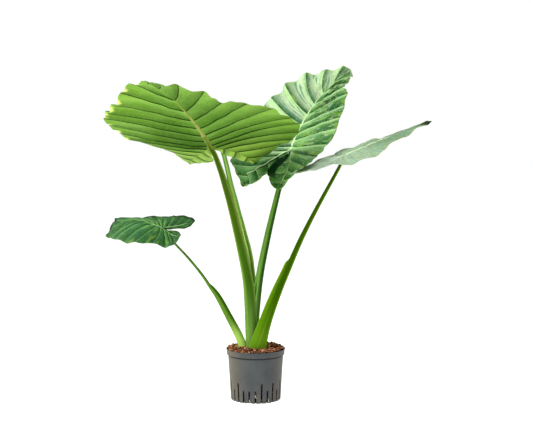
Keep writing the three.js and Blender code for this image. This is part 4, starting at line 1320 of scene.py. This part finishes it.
        # The ridge: the vein's pale tone and a painted highlight on its lit side.
        beside = self.math("ABSOLUTE", self.minus(self.from_vein, width))
        ridge = self.ramp(self.math("DIVIDE", beside, width), 0.7, 0.2)
        self.tint(self.times(ridge, drawn, look["ridge_share"]), "ridge")
        from_stalk = self.math("ABSOLUTE", self.minus(self.station, STALK_STATION))
        reach = self.times(self.ramp(from_stalk, STALK_STATION, 0.0, 0.25, 1.0), look["rib_width"])
        on_rib = self.ramp(self.math("DIVIDE", self.from_rib, reach), 1.15, 0.8)
        on_rib = self.times(on_rib, self.ramp(self.station, 8.6, 9.4, 1.0, look["lobe_rib"]))
        self.tint(self.times(on_rib, self.ramp(self.station, 1.0, 4.0, 0.4, 1.0)), "rib")

    def margin(self):
        """Painted light through the thin margin, the pale margin itself, and the dark parts of some blades.
        """
        look = self.look
        # Painted light shining through the thin margin, in spots between the nicks.
        above_nick = self.times(self.ramp(self.within, 0.35, 0.6), self.ramp(self.within, 0.95, 0.75))
        lit = self.times(self.ramp(self.from_edge, 20.0, 1.0), self.ramp(self.spots, 0.36, 0.55), above_nick)
        self.tint(self.times(lit, self.halves(look["edge_glow"])), "sun")
        rim = self.plus(self.from_edge, self.times(self.broad, 3.0))
        self.tint(self.ramp(rim, 5.0, 2.0, 0.0, look["edge_share"]), "edge")
        if look["edge_dark"]:
            dark_edge = self.ramp(self.from_edge, 15.0, 3.0, 0.0, look["edge_dark"])
            self.tint(self.times(dark_edge, self.on_right), "tip")
        if look["notch_shade"]:
            self.notch()
        if look["dark_tip"]:
            self.tint(self.ramp(self.station, look["dark_tip"], look["dark_tip"] * 0.5), "tip")

    def notch(self):
        """Painted shadow on the right lobe's inner margin, and painted shade in the left lobe's crease under
        its basal vein.
        """
        inner = self.times(self.ramp(self.station, 14.3, 15.0), self.ramp(self.from_edge, 36.0, 27.0))
        crease = self.times(self.ramp(self.station, 13.8, 14.6), self.ramp(self.station, 17.0, 16.6))
        crease = self.times(crease, self.ramp(self.from_rib, 3.0, 4.5), self.ramp(self.from_rib, 9.0, 7.0))
        either = self.math("MAXIMUM", self.times(inner, self.on_right), self.times(crease, self.on_left))
        self.tint(self.times(either, self.look["notch_shade"]), "tip")

    def skin(self):
        """The surface's relief, and how rough it is."""
        grain = self.plus(self.times(self.ramp(self.net, 0.0, 0.25), 0.6), self.noise(self.place, 420.0, 2.0))
        ruffle = self.noise(self.strand(4.5, 9.0, self.apart), 1.5, 3.0)
        self.bump(self.plus(self.times(grain, 0.12), ruffle), 0.6, self.look["ruffle"])
        rough = self.look["rough"]
        return self.finish(self.ramp(self.noise(self.place, 60.0), 0.3, 0.7, rough - 0.05, rough + 0.08))


def leaf_material(name, look):
    leaf = Leaf(name, look)
    for layer in (leaf.panels, leaf.slopes, leaf.streaks, leaf.finest, leaf.veins, leaf.margin):
        layer()
    return leaf.skin()


def stalk_material(name, low, high, dark, light, low_turn, high_turn, foot_share):
    """A fleshy stalk: its colour changes upward, and long streaks run along it."""
    s = Shading(
        name, Subsurface_Weight=0.1, Subsurface_Scale=3 * MM, Subsurface_Radius=GREEN_SPREAD,
        Specular_IOR_Level=0.0,
    )
    height, turn, share = s.read("stalk_place")
    east = s.math("COSINE", turn)
    north = s.math("SINE", turn)
    s.base = s.mix(s.ramp(share, 0.1, 0.75), low, high)
    streaks = s.noise(s.vector(east, north, s.times(share, 1.2)), 3.2, 5.0, 0.6)
    s.paint(s.times(s.ramp(streaks, 0.5, 0.75), 0.6), light)
    # Painted shade down one side of the stalk, facing the way low_turn and high_turn give.
    dark_turn = s.ramp(share, 0.1, 0.6, math.radians(low_turn), math.radians(high_turn))
    facing = s.math("COSINE", s.minus(turn, dark_turn))
    deepest = s.times(s.ramp(share, 0.03, 0.35, 0.25, 0.9), s.ramp(share, 0.88, 0.99, 1.0, 0.4))
    s.paint(s.times(s.ramp(facing, 0.52, 0.96), deepest), dark)
    # Painted shade in the sheath's channel.
    s.paint(s.times(s.read_one("stalk_hollow"), 0.7), dark)
    s.paint(s.ramp(s.read_one("stalk_edge"), 0.55, 0.95, 0.0, 0.75), light)
    lines = s.noise(s.vector(s.times(east, 14.0), s.times(north, 14.0), share), 1.0, 2.0)
    s.paint(s.times(s.ramp(lines, 0.4, 0.65), 0.25), dark)
    # A pale foot, and painted shade where it goes into the granules.
    s.paint(s.ramp(height, 300.0, 210.0, 0.0, foot_share), light)
    s.paint(s.times(s.ramp(height, 202.0, 186.0), 0.7), dark)
    s.bump(lines, 0.3, 0.5)
    return s.finish(s.ramp(streaks, 0.3, 0.8, 0.34, 0.5))


def clay_material(name, darker):
    """Expanded clay: a rough baked skin, each granule a little different."""
    s = Shading(name, Specular_IOR_Level=0.25)
    tint = s.read_one("tint")
    place = s.object_place()
    broad = s.noise(place, 55.0, 4.0, 0.6)
    s.base = s.mix(s.ramp(tint, 0.0, 0.6), colour("64301a"), colour("b46c46"))
    s.paint(s.times(s.ramp(tint, 0.54, 0.58), 0.9), colour("261008"))
    s.paint(s.times(s.ramp(tint, 0.8, 0.84), 0.95), colour("e09c74"))
    s.paint(s.times(s.ramp(broad, 0.52, 0.72), 0.6), colour("b87850"))
    s.paint(s.times(s.ramp(broad, 0.48, 0.3), 0.8), colour("1a0a05"))
    # Painted shade on each granule's lower part, painted light on its top.
    raised = s.read_one("raised")
    s.paint(s.ramp(raised, 0.35, -0.3, 0.0, 0.97), colour("100704"))
    s.paint(s.ramp(raised, 0.5, 0.95, 0.0, 0.55), colour("dc9a74"))
    # Painted shade: the darkened copies for granules that lie in shade.
    if darker:
        s.paint(darker, colour("0c0604"))
    pits = s.noise(place, 700.0, 3.0, 0.6)
    s.bump(s.plus(pits, s.times(broad, 2.0)), 0.7, 0.6)
    return s.finish(s.ramp(pits, 0.3, 0.7, 0.8, 0.95))


def pot_material():
    """Matt grey plastic with a fine moulded grain, dusty towards the foot, with painted light on its sides
    and painted shadow under the collar.
    """
    s = Shading("pot_plastic", Specular_IOR_Level=0.4)
    place = s.object_place()
    x, y, z = s.parts(place)
    broad = s.noise(place, 14.0, 4.0, 0.6)
    s.base = s.mix(s.ramp(broad, 0.35, 0.65), colour("3c3f41"), colour("474a4b"))
    dust = s.times(s.ramp(z, 0.09, 0.0), s.ramp(s.noise(place, 40.0, 5.0, 0.65), 0.4, 0.7))
    s.paint(s.times(dust, 0.4), colour("6b685c"))
    smear = s.noise(s.vector(s.times(x, 60.0), s.times(y, 60.0), s.times(z, 4.0)), 1.0, 3.0)
    s.paint(s.times(s.ramp(smear, 0.5, 0.8), 0.25), colour("33373a"))
    # Painted light: the sides paler and warmer than the front, the left side most.
    s.paint(s.ramp(x, -0.03, -0.1, 0.0, 0.55), colour("685f44"))
    s.paint(s.ramp(x, 0.045, 0.1, 0.0, 0.5), colour("5c584c"))
    # Painted shadow in the groove under the collar.
    groove = s.times(s.ramp(z, 0.1625, 0.1645), s.ramp(z, 0.1702, 0.1690))
    s.paint(groove, colour("060504"))
    grain = s.noise(place, 900.0, 2.0)
    s.bump(grain, 0.25, 0.2)
    return s.finish(s.ramp(broad, 0.3, 0.7, 0.5, 0.62))


def root_material():
    """Pale root skin with faint rings."""
    s = Shading("root_skin", Subsurface_Weight=0.2, Subsurface_Scale=1.5 * MM)
    place = s.object_place()
    rings = s.noise(place, 240.0, 4.0)
    s.base = s.mix(s.ramp(rings, 0.35, 0.65), colour("b79b72"), colour("efe6c8"))
    s.bump(rings, 0.4, 0.4)
    return s.finish(s.ramp(rings, 0.2, 0.8, 0.55, 0.7))


def floor_material():
    s = Shading(
        "studio_floor", Specular_IOR_Level=0.2, Emission_Color=(1, 1, 1, 1), Emission_Strength=FLOOR_GLOW,
    )
    s.base = s.mix(s.ramp(s.noise(s.object_place(), 3.0), 0.3, 0.7), colour("c8c8c6"), colour("cccccb"))
    return s.finish(0.7)


# ---------- studio ----------


def build_studio():
    camera_data = bpy.data.cameras.new("camera")
    camera_data.sensor_width = SENSOR_WIDTH
    camera_data.lens = LENS
    camera_data.clip_end = 200
    camera = bpy.data.objects.new("camera", camera_data)
    camera.location = Vector(CAMERA_PLACE) * MM
    camera.rotation_euler = (math.radians(90 - CAMERA_PITCH), 0, 0)
    bpy.context.scene.collection.objects.link(camera)
    bpy.context.scene.camera = camera

    world = bpy.data.worlds.new("studio")
    world.use_nodes = True
    background = world.node_tree.nodes["Background"]
    background.inputs["Color"].default_value = (1.0, 1.0, 1.0, 1.0)
    # A white backdrop all round, and a dimmer ceiling.
    nodes, links = world.node_tree.nodes, world.node_tree.links
    direction = nodes.new("ShaderNodeTexCoord")
    split = nodes.new("ShaderNodeSeparateXYZ")
    fade = nodes.new("ShaderNodeMapRange")
    fade.interpolation_type = "SMOOTHSTEP"
    for key, value in zip(("From Min", "From Max", "To Min", "To Max"), (*BACKDROP_TOP, 1.0, CEILING)):
        fade.inputs[key].default_value = value
    links.new(direction.outputs["Generated"], split.inputs[0])
    links.new(split.outputs[2], fade.inputs["Value"])
    links.new(fade.outputs[0], background.inputs["Strength"])
    bpy.context.scene.world = world
    bpy.context.scene.view_settings.view_transform = "Standard"

    for name, place, size, power in SOFT_BOXES:
        soft_box(name, place, size, power)

    floor_size = 30.0
    points = [(x * floor_size / MM, y * floor_size / MM, 0) for x, y in ((-1, -1), (1, -1), (1, 1), (-1, 1))]
    floor = make_piece("floor", points, [[0, 1, 2, 3]], [floor_material()])


def soft_box(name, place, size, power):
    light = bpy.data.lights.new(name, "AREA")
    light.shape = "SQUARE"
    light.size = size
    light.energy = power
    lamp = bpy.data.objects.new(name, light)
    lamp.location = place
    lamp.rotation_euler = (Vector((0, 0, 0.75)) - Vector(place)).to_track_quat("-Z", "Y").to_euler()
    bpy.context.scene.collection.objects.link(lamp)


# ---------- the plant ----------
# Shares say how strongly a tone or a mark shows, from 0 to 1. Widths are in millimetres. Pairs hold the right
# half's value and then the left half's, but streak_span, the noise between which a streak fades in.

LEAF_LOOK = dict(
    glow=0.12, gloss=0.04, rough=0.6, painted_half_light=0.0, outer_share=(0.0, 0.0), deep_share=0.0, lobe_share=0.0,
    far_share=(0.0, 0.0), rib_calm=0.0, slope_share=0.45, shade_width=9.0, shade_share=0.9,
    light_share=0.85, streak_span=(0.56, 0.72), streak_share=0.5, streak_other=1.0, blotch=0.0, glint=0.0,
    sun_share=0.0, crimp_share=0.35, vein_width=4.8, vein_share=1.0, ridge_share=0.55, rib_width=9.5,
    lobe_rib=1.0, edge_glow=(1.0, 0.1), edge_share=0.2, edge_dark=0.0, dark_tip=0.0, notch_shade=0.0,
    mottle=0.3, ruffle=1.5,
)
# The front blade's underside: a copy of the underside's look with painted light in its tones, lighter still
# on the hanging lobes.
UNDER_LIT = dict(
    LEAF_LOOK, painted_half_light=0.2, lobe_rib=0.25, outer_share=(0.5, 0.4), deep_share=0.55, lobe_share=0.9,
    far_share=(0.0, 0.25), slope_share=0.6, shade_width=11.0,
    tones=dict(
        panel="64942e", light="7eac46", painted_half_light="88b44e", shade="264e00", streak="448806", blotch="4b8d14",
        sun="ecf684", vein="1a2c00", ridge="8c9a30", rib="8f9c48", edge="9cc42c", tip="5c8a2a",
        outer="8cbc40", lobe="98c24c",
    ),
)
UNDER_DULL = dict(
    LEAF_LOOK, vein_width=2.0, rib_width=6.0, shade_width=8.0,
    tones=dict(
        panel="4b7a2e", light="629144", painted_half_light="629144", shade="2d5518", streak="427a26", blotch="427a26",
        sun="8fbf45", vein="2f4416", ridge="7f9648", rib="7c8f40", edge="93b64a", tip="4b7a2e",
        outer="4b7a2e", lobe="4b7a2e",
    ),
)
UPPER = dict(
    LEAF_LOOK, glow=0.05, gloss=0.06, rough=0.42, painted_half_light=0.75, outer_share=(0.85, 0.0), lobe_share=0.85,
    rib_calm=0.5, slope_share=0.75, shade_share=1.0, light_share=0.7, shade_width=18.0,
    streak_span=(0.53, 0.64), streak_share=0.75, streak_other=0.8, blotch=0.95, glint=0.4, sun_share=0.4,
    vein_width=2.6, vein_share=0.5, ridge_share=0.75, rib_width=6.5, edge_glow=(0.5, 0.5),
    notch_shade=1.0, ruffle=4.5,
    tones=dict(
        panel="649a4a", light="a0cc84", painted_half_light="c0d0ae", shade="0c480c", streak="2a6c56", blotch="0a2c0e",
        sun="90bc44", vein="0c300e", ridge="c0d8a0", rib="c4dcaa", edge="96bc54", tip="022c0c",
        outer="265c0e", lobe="3a7c26",
    ),
)
# The pale blade's upper face: its pale grey-green tones are painted sheen over the leaf's green.
UPPER_PALE = dict(
    LEAF_LOOK, glow=0.05, gloss=0.12, rough=0.5, painted_half_light=0.7, outer_share=(0.3, 0.0), lobe_share=0.85,
    slope_share=0.15, far_share=(0.9, 0.9), shade_share=0.3, light_share=0.3, shade_width=7.0,
    streak_span=(0.56, 0.66), streak_share=0.8, vein_width=1.4, vein_share=0.35, ridge_share=0.4,
    rib_width=7.0, edge_glow=(0.2, 0.2), edge_share=0.6, dark_tip=1.1, ruffle=1.5,
    tones=dict(
        panel="a0b696", light="b0c6a6", painted_half_light="8ca67c", shade="587450", streak="5c9484", blotch="5a9484",
        sun="a9c07c", vein="6f9068", ridge="b4c8a4", rib="ccdcb4", edge="b4bc7c", tip="142400",
        outer="7c9470", lobe="c0d4c0",
    ),
)
UPPER_DARK = dict(
    LEAF_LOOK, glow=0.05, gloss=0.08, rough=0.5, outer_share=(0.7, 0.6), lobe_share=0.85, edge_dark=0.85,
    slope_share=0.45, shade_share=0.7, light_share=0.5, shade_width=4.5, streak_span=(0.5, 0.62),
    streak_share=0.75, sun_share=0.6, vein_width=0.9, vein_share=0.45, ridge_share=0.4, rib_width=5.2,
    edge_glow=(0.1, 0.1), edge_share=0.2, ruffle=0.8,
    tones=dict(
        panel="447a44", light="6aa258", painted_half_light="6aa258", shade="082c10", streak="124640", blotch="0c2f16",
        sun="7a9e34", vein="80ac60", ridge="6aa04a", rib="98c084", edge="4f7c3c", tip="041c06",
        outer="184618", lobe="0e3a20",
    ),
)
UPPER_GREEN = dict(
    UPPER, painted_half_light=0.3, outer_share=(0.4, 0.4), blotch=0.0, notch_shade=0.0, streak_share=0.5,
    tones=dict(
        UPPER["tones"], panel="3c7c2c", light="6ea452", painted_half_light="6ea452", shade="104010", outer="2c641c",
        ridge="94b870", lobe="2c6c24",
    ),
)


def build_leaves():
    under_lit = leaf_material("leaf_under_lit", UNDER_LIT)
    under = leaf_material("leaf_under", UNDER_DULL)
    green = leaf_material("leaf_upper_green", UPPER_GREEN)
    build_blade("blade_front_left", [green, under_lit], "leaf_lit")
    build_blade("blade_upper_right", [leaf_material("leaf_upper", UPPER), under], "leaf_upper")
    build_blade("blade_right", [leaf_material("leaf_upper_pale", UPPER_PALE), under], "leaf_pale")
    build_blade("blade_left_small", [leaf_material("leaf_upper_dark", UPPER_DARK), under], "leaf_dark")
    build_blade("blade_back", [green, under], "leaf_upper")


# Colours low and high on each stalk, of the painted shade down one side and of its light streaks; the way the
# shaded side faces, low and high; and how light its foot is.
STALK_LOOKS = {
    "petiole_front_left": ("6e9a40", "86943c", "2c5204", "9cbe60", -76, -100, 0.2),
    "petiole_back": ("8cb84a", "94c060", "3c7004", "c4de78", -60, -150, 0.3),
    "petiole_upper_right": ("74a048", "68963a", "245010", "94bc60", -30, -40, 0.2),
    "petiole_left_small": ("60882a", "48741a", "2c5a08", "b0d664", 0, -20, 0.95),
    "petiole_right": ("5c8a10", "5c8008", "2a4c00", "90b838", -80, -105, 0.15),
}


def build_stalks():
    for name, (*tones, low_turn, high_turn, foot_share) in STALK_LOOKS.items():
        colours = [colour(tone) for tone in tones]
        skin = stalk_material("skin_" + name, *colours, low_turn, high_turn, foot_share)
        build_stalk(name, skin, "stalk")


def build_rest():
    # The clay, and two copies darkened by painted shade: half for the granules against the wall, nearly all
    # for the lower layer and the bed's core.
    darkened = {"clay": 0.0, "clay_half_shaded": 0.45, "clay_shaded": 0.93}
    build_granules(*[clay_material(name, darker) for name, darker in darkened.items()])
    build_pot(pot_material())
    roots = root_material()
    build_root_tips(roots)
    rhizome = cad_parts["rhizome"]
    rhizome.data.materials.clear()
    rhizome.data.materials.append(roots)


build_studio()
build_leaves()
build_stalks()
build_rest()
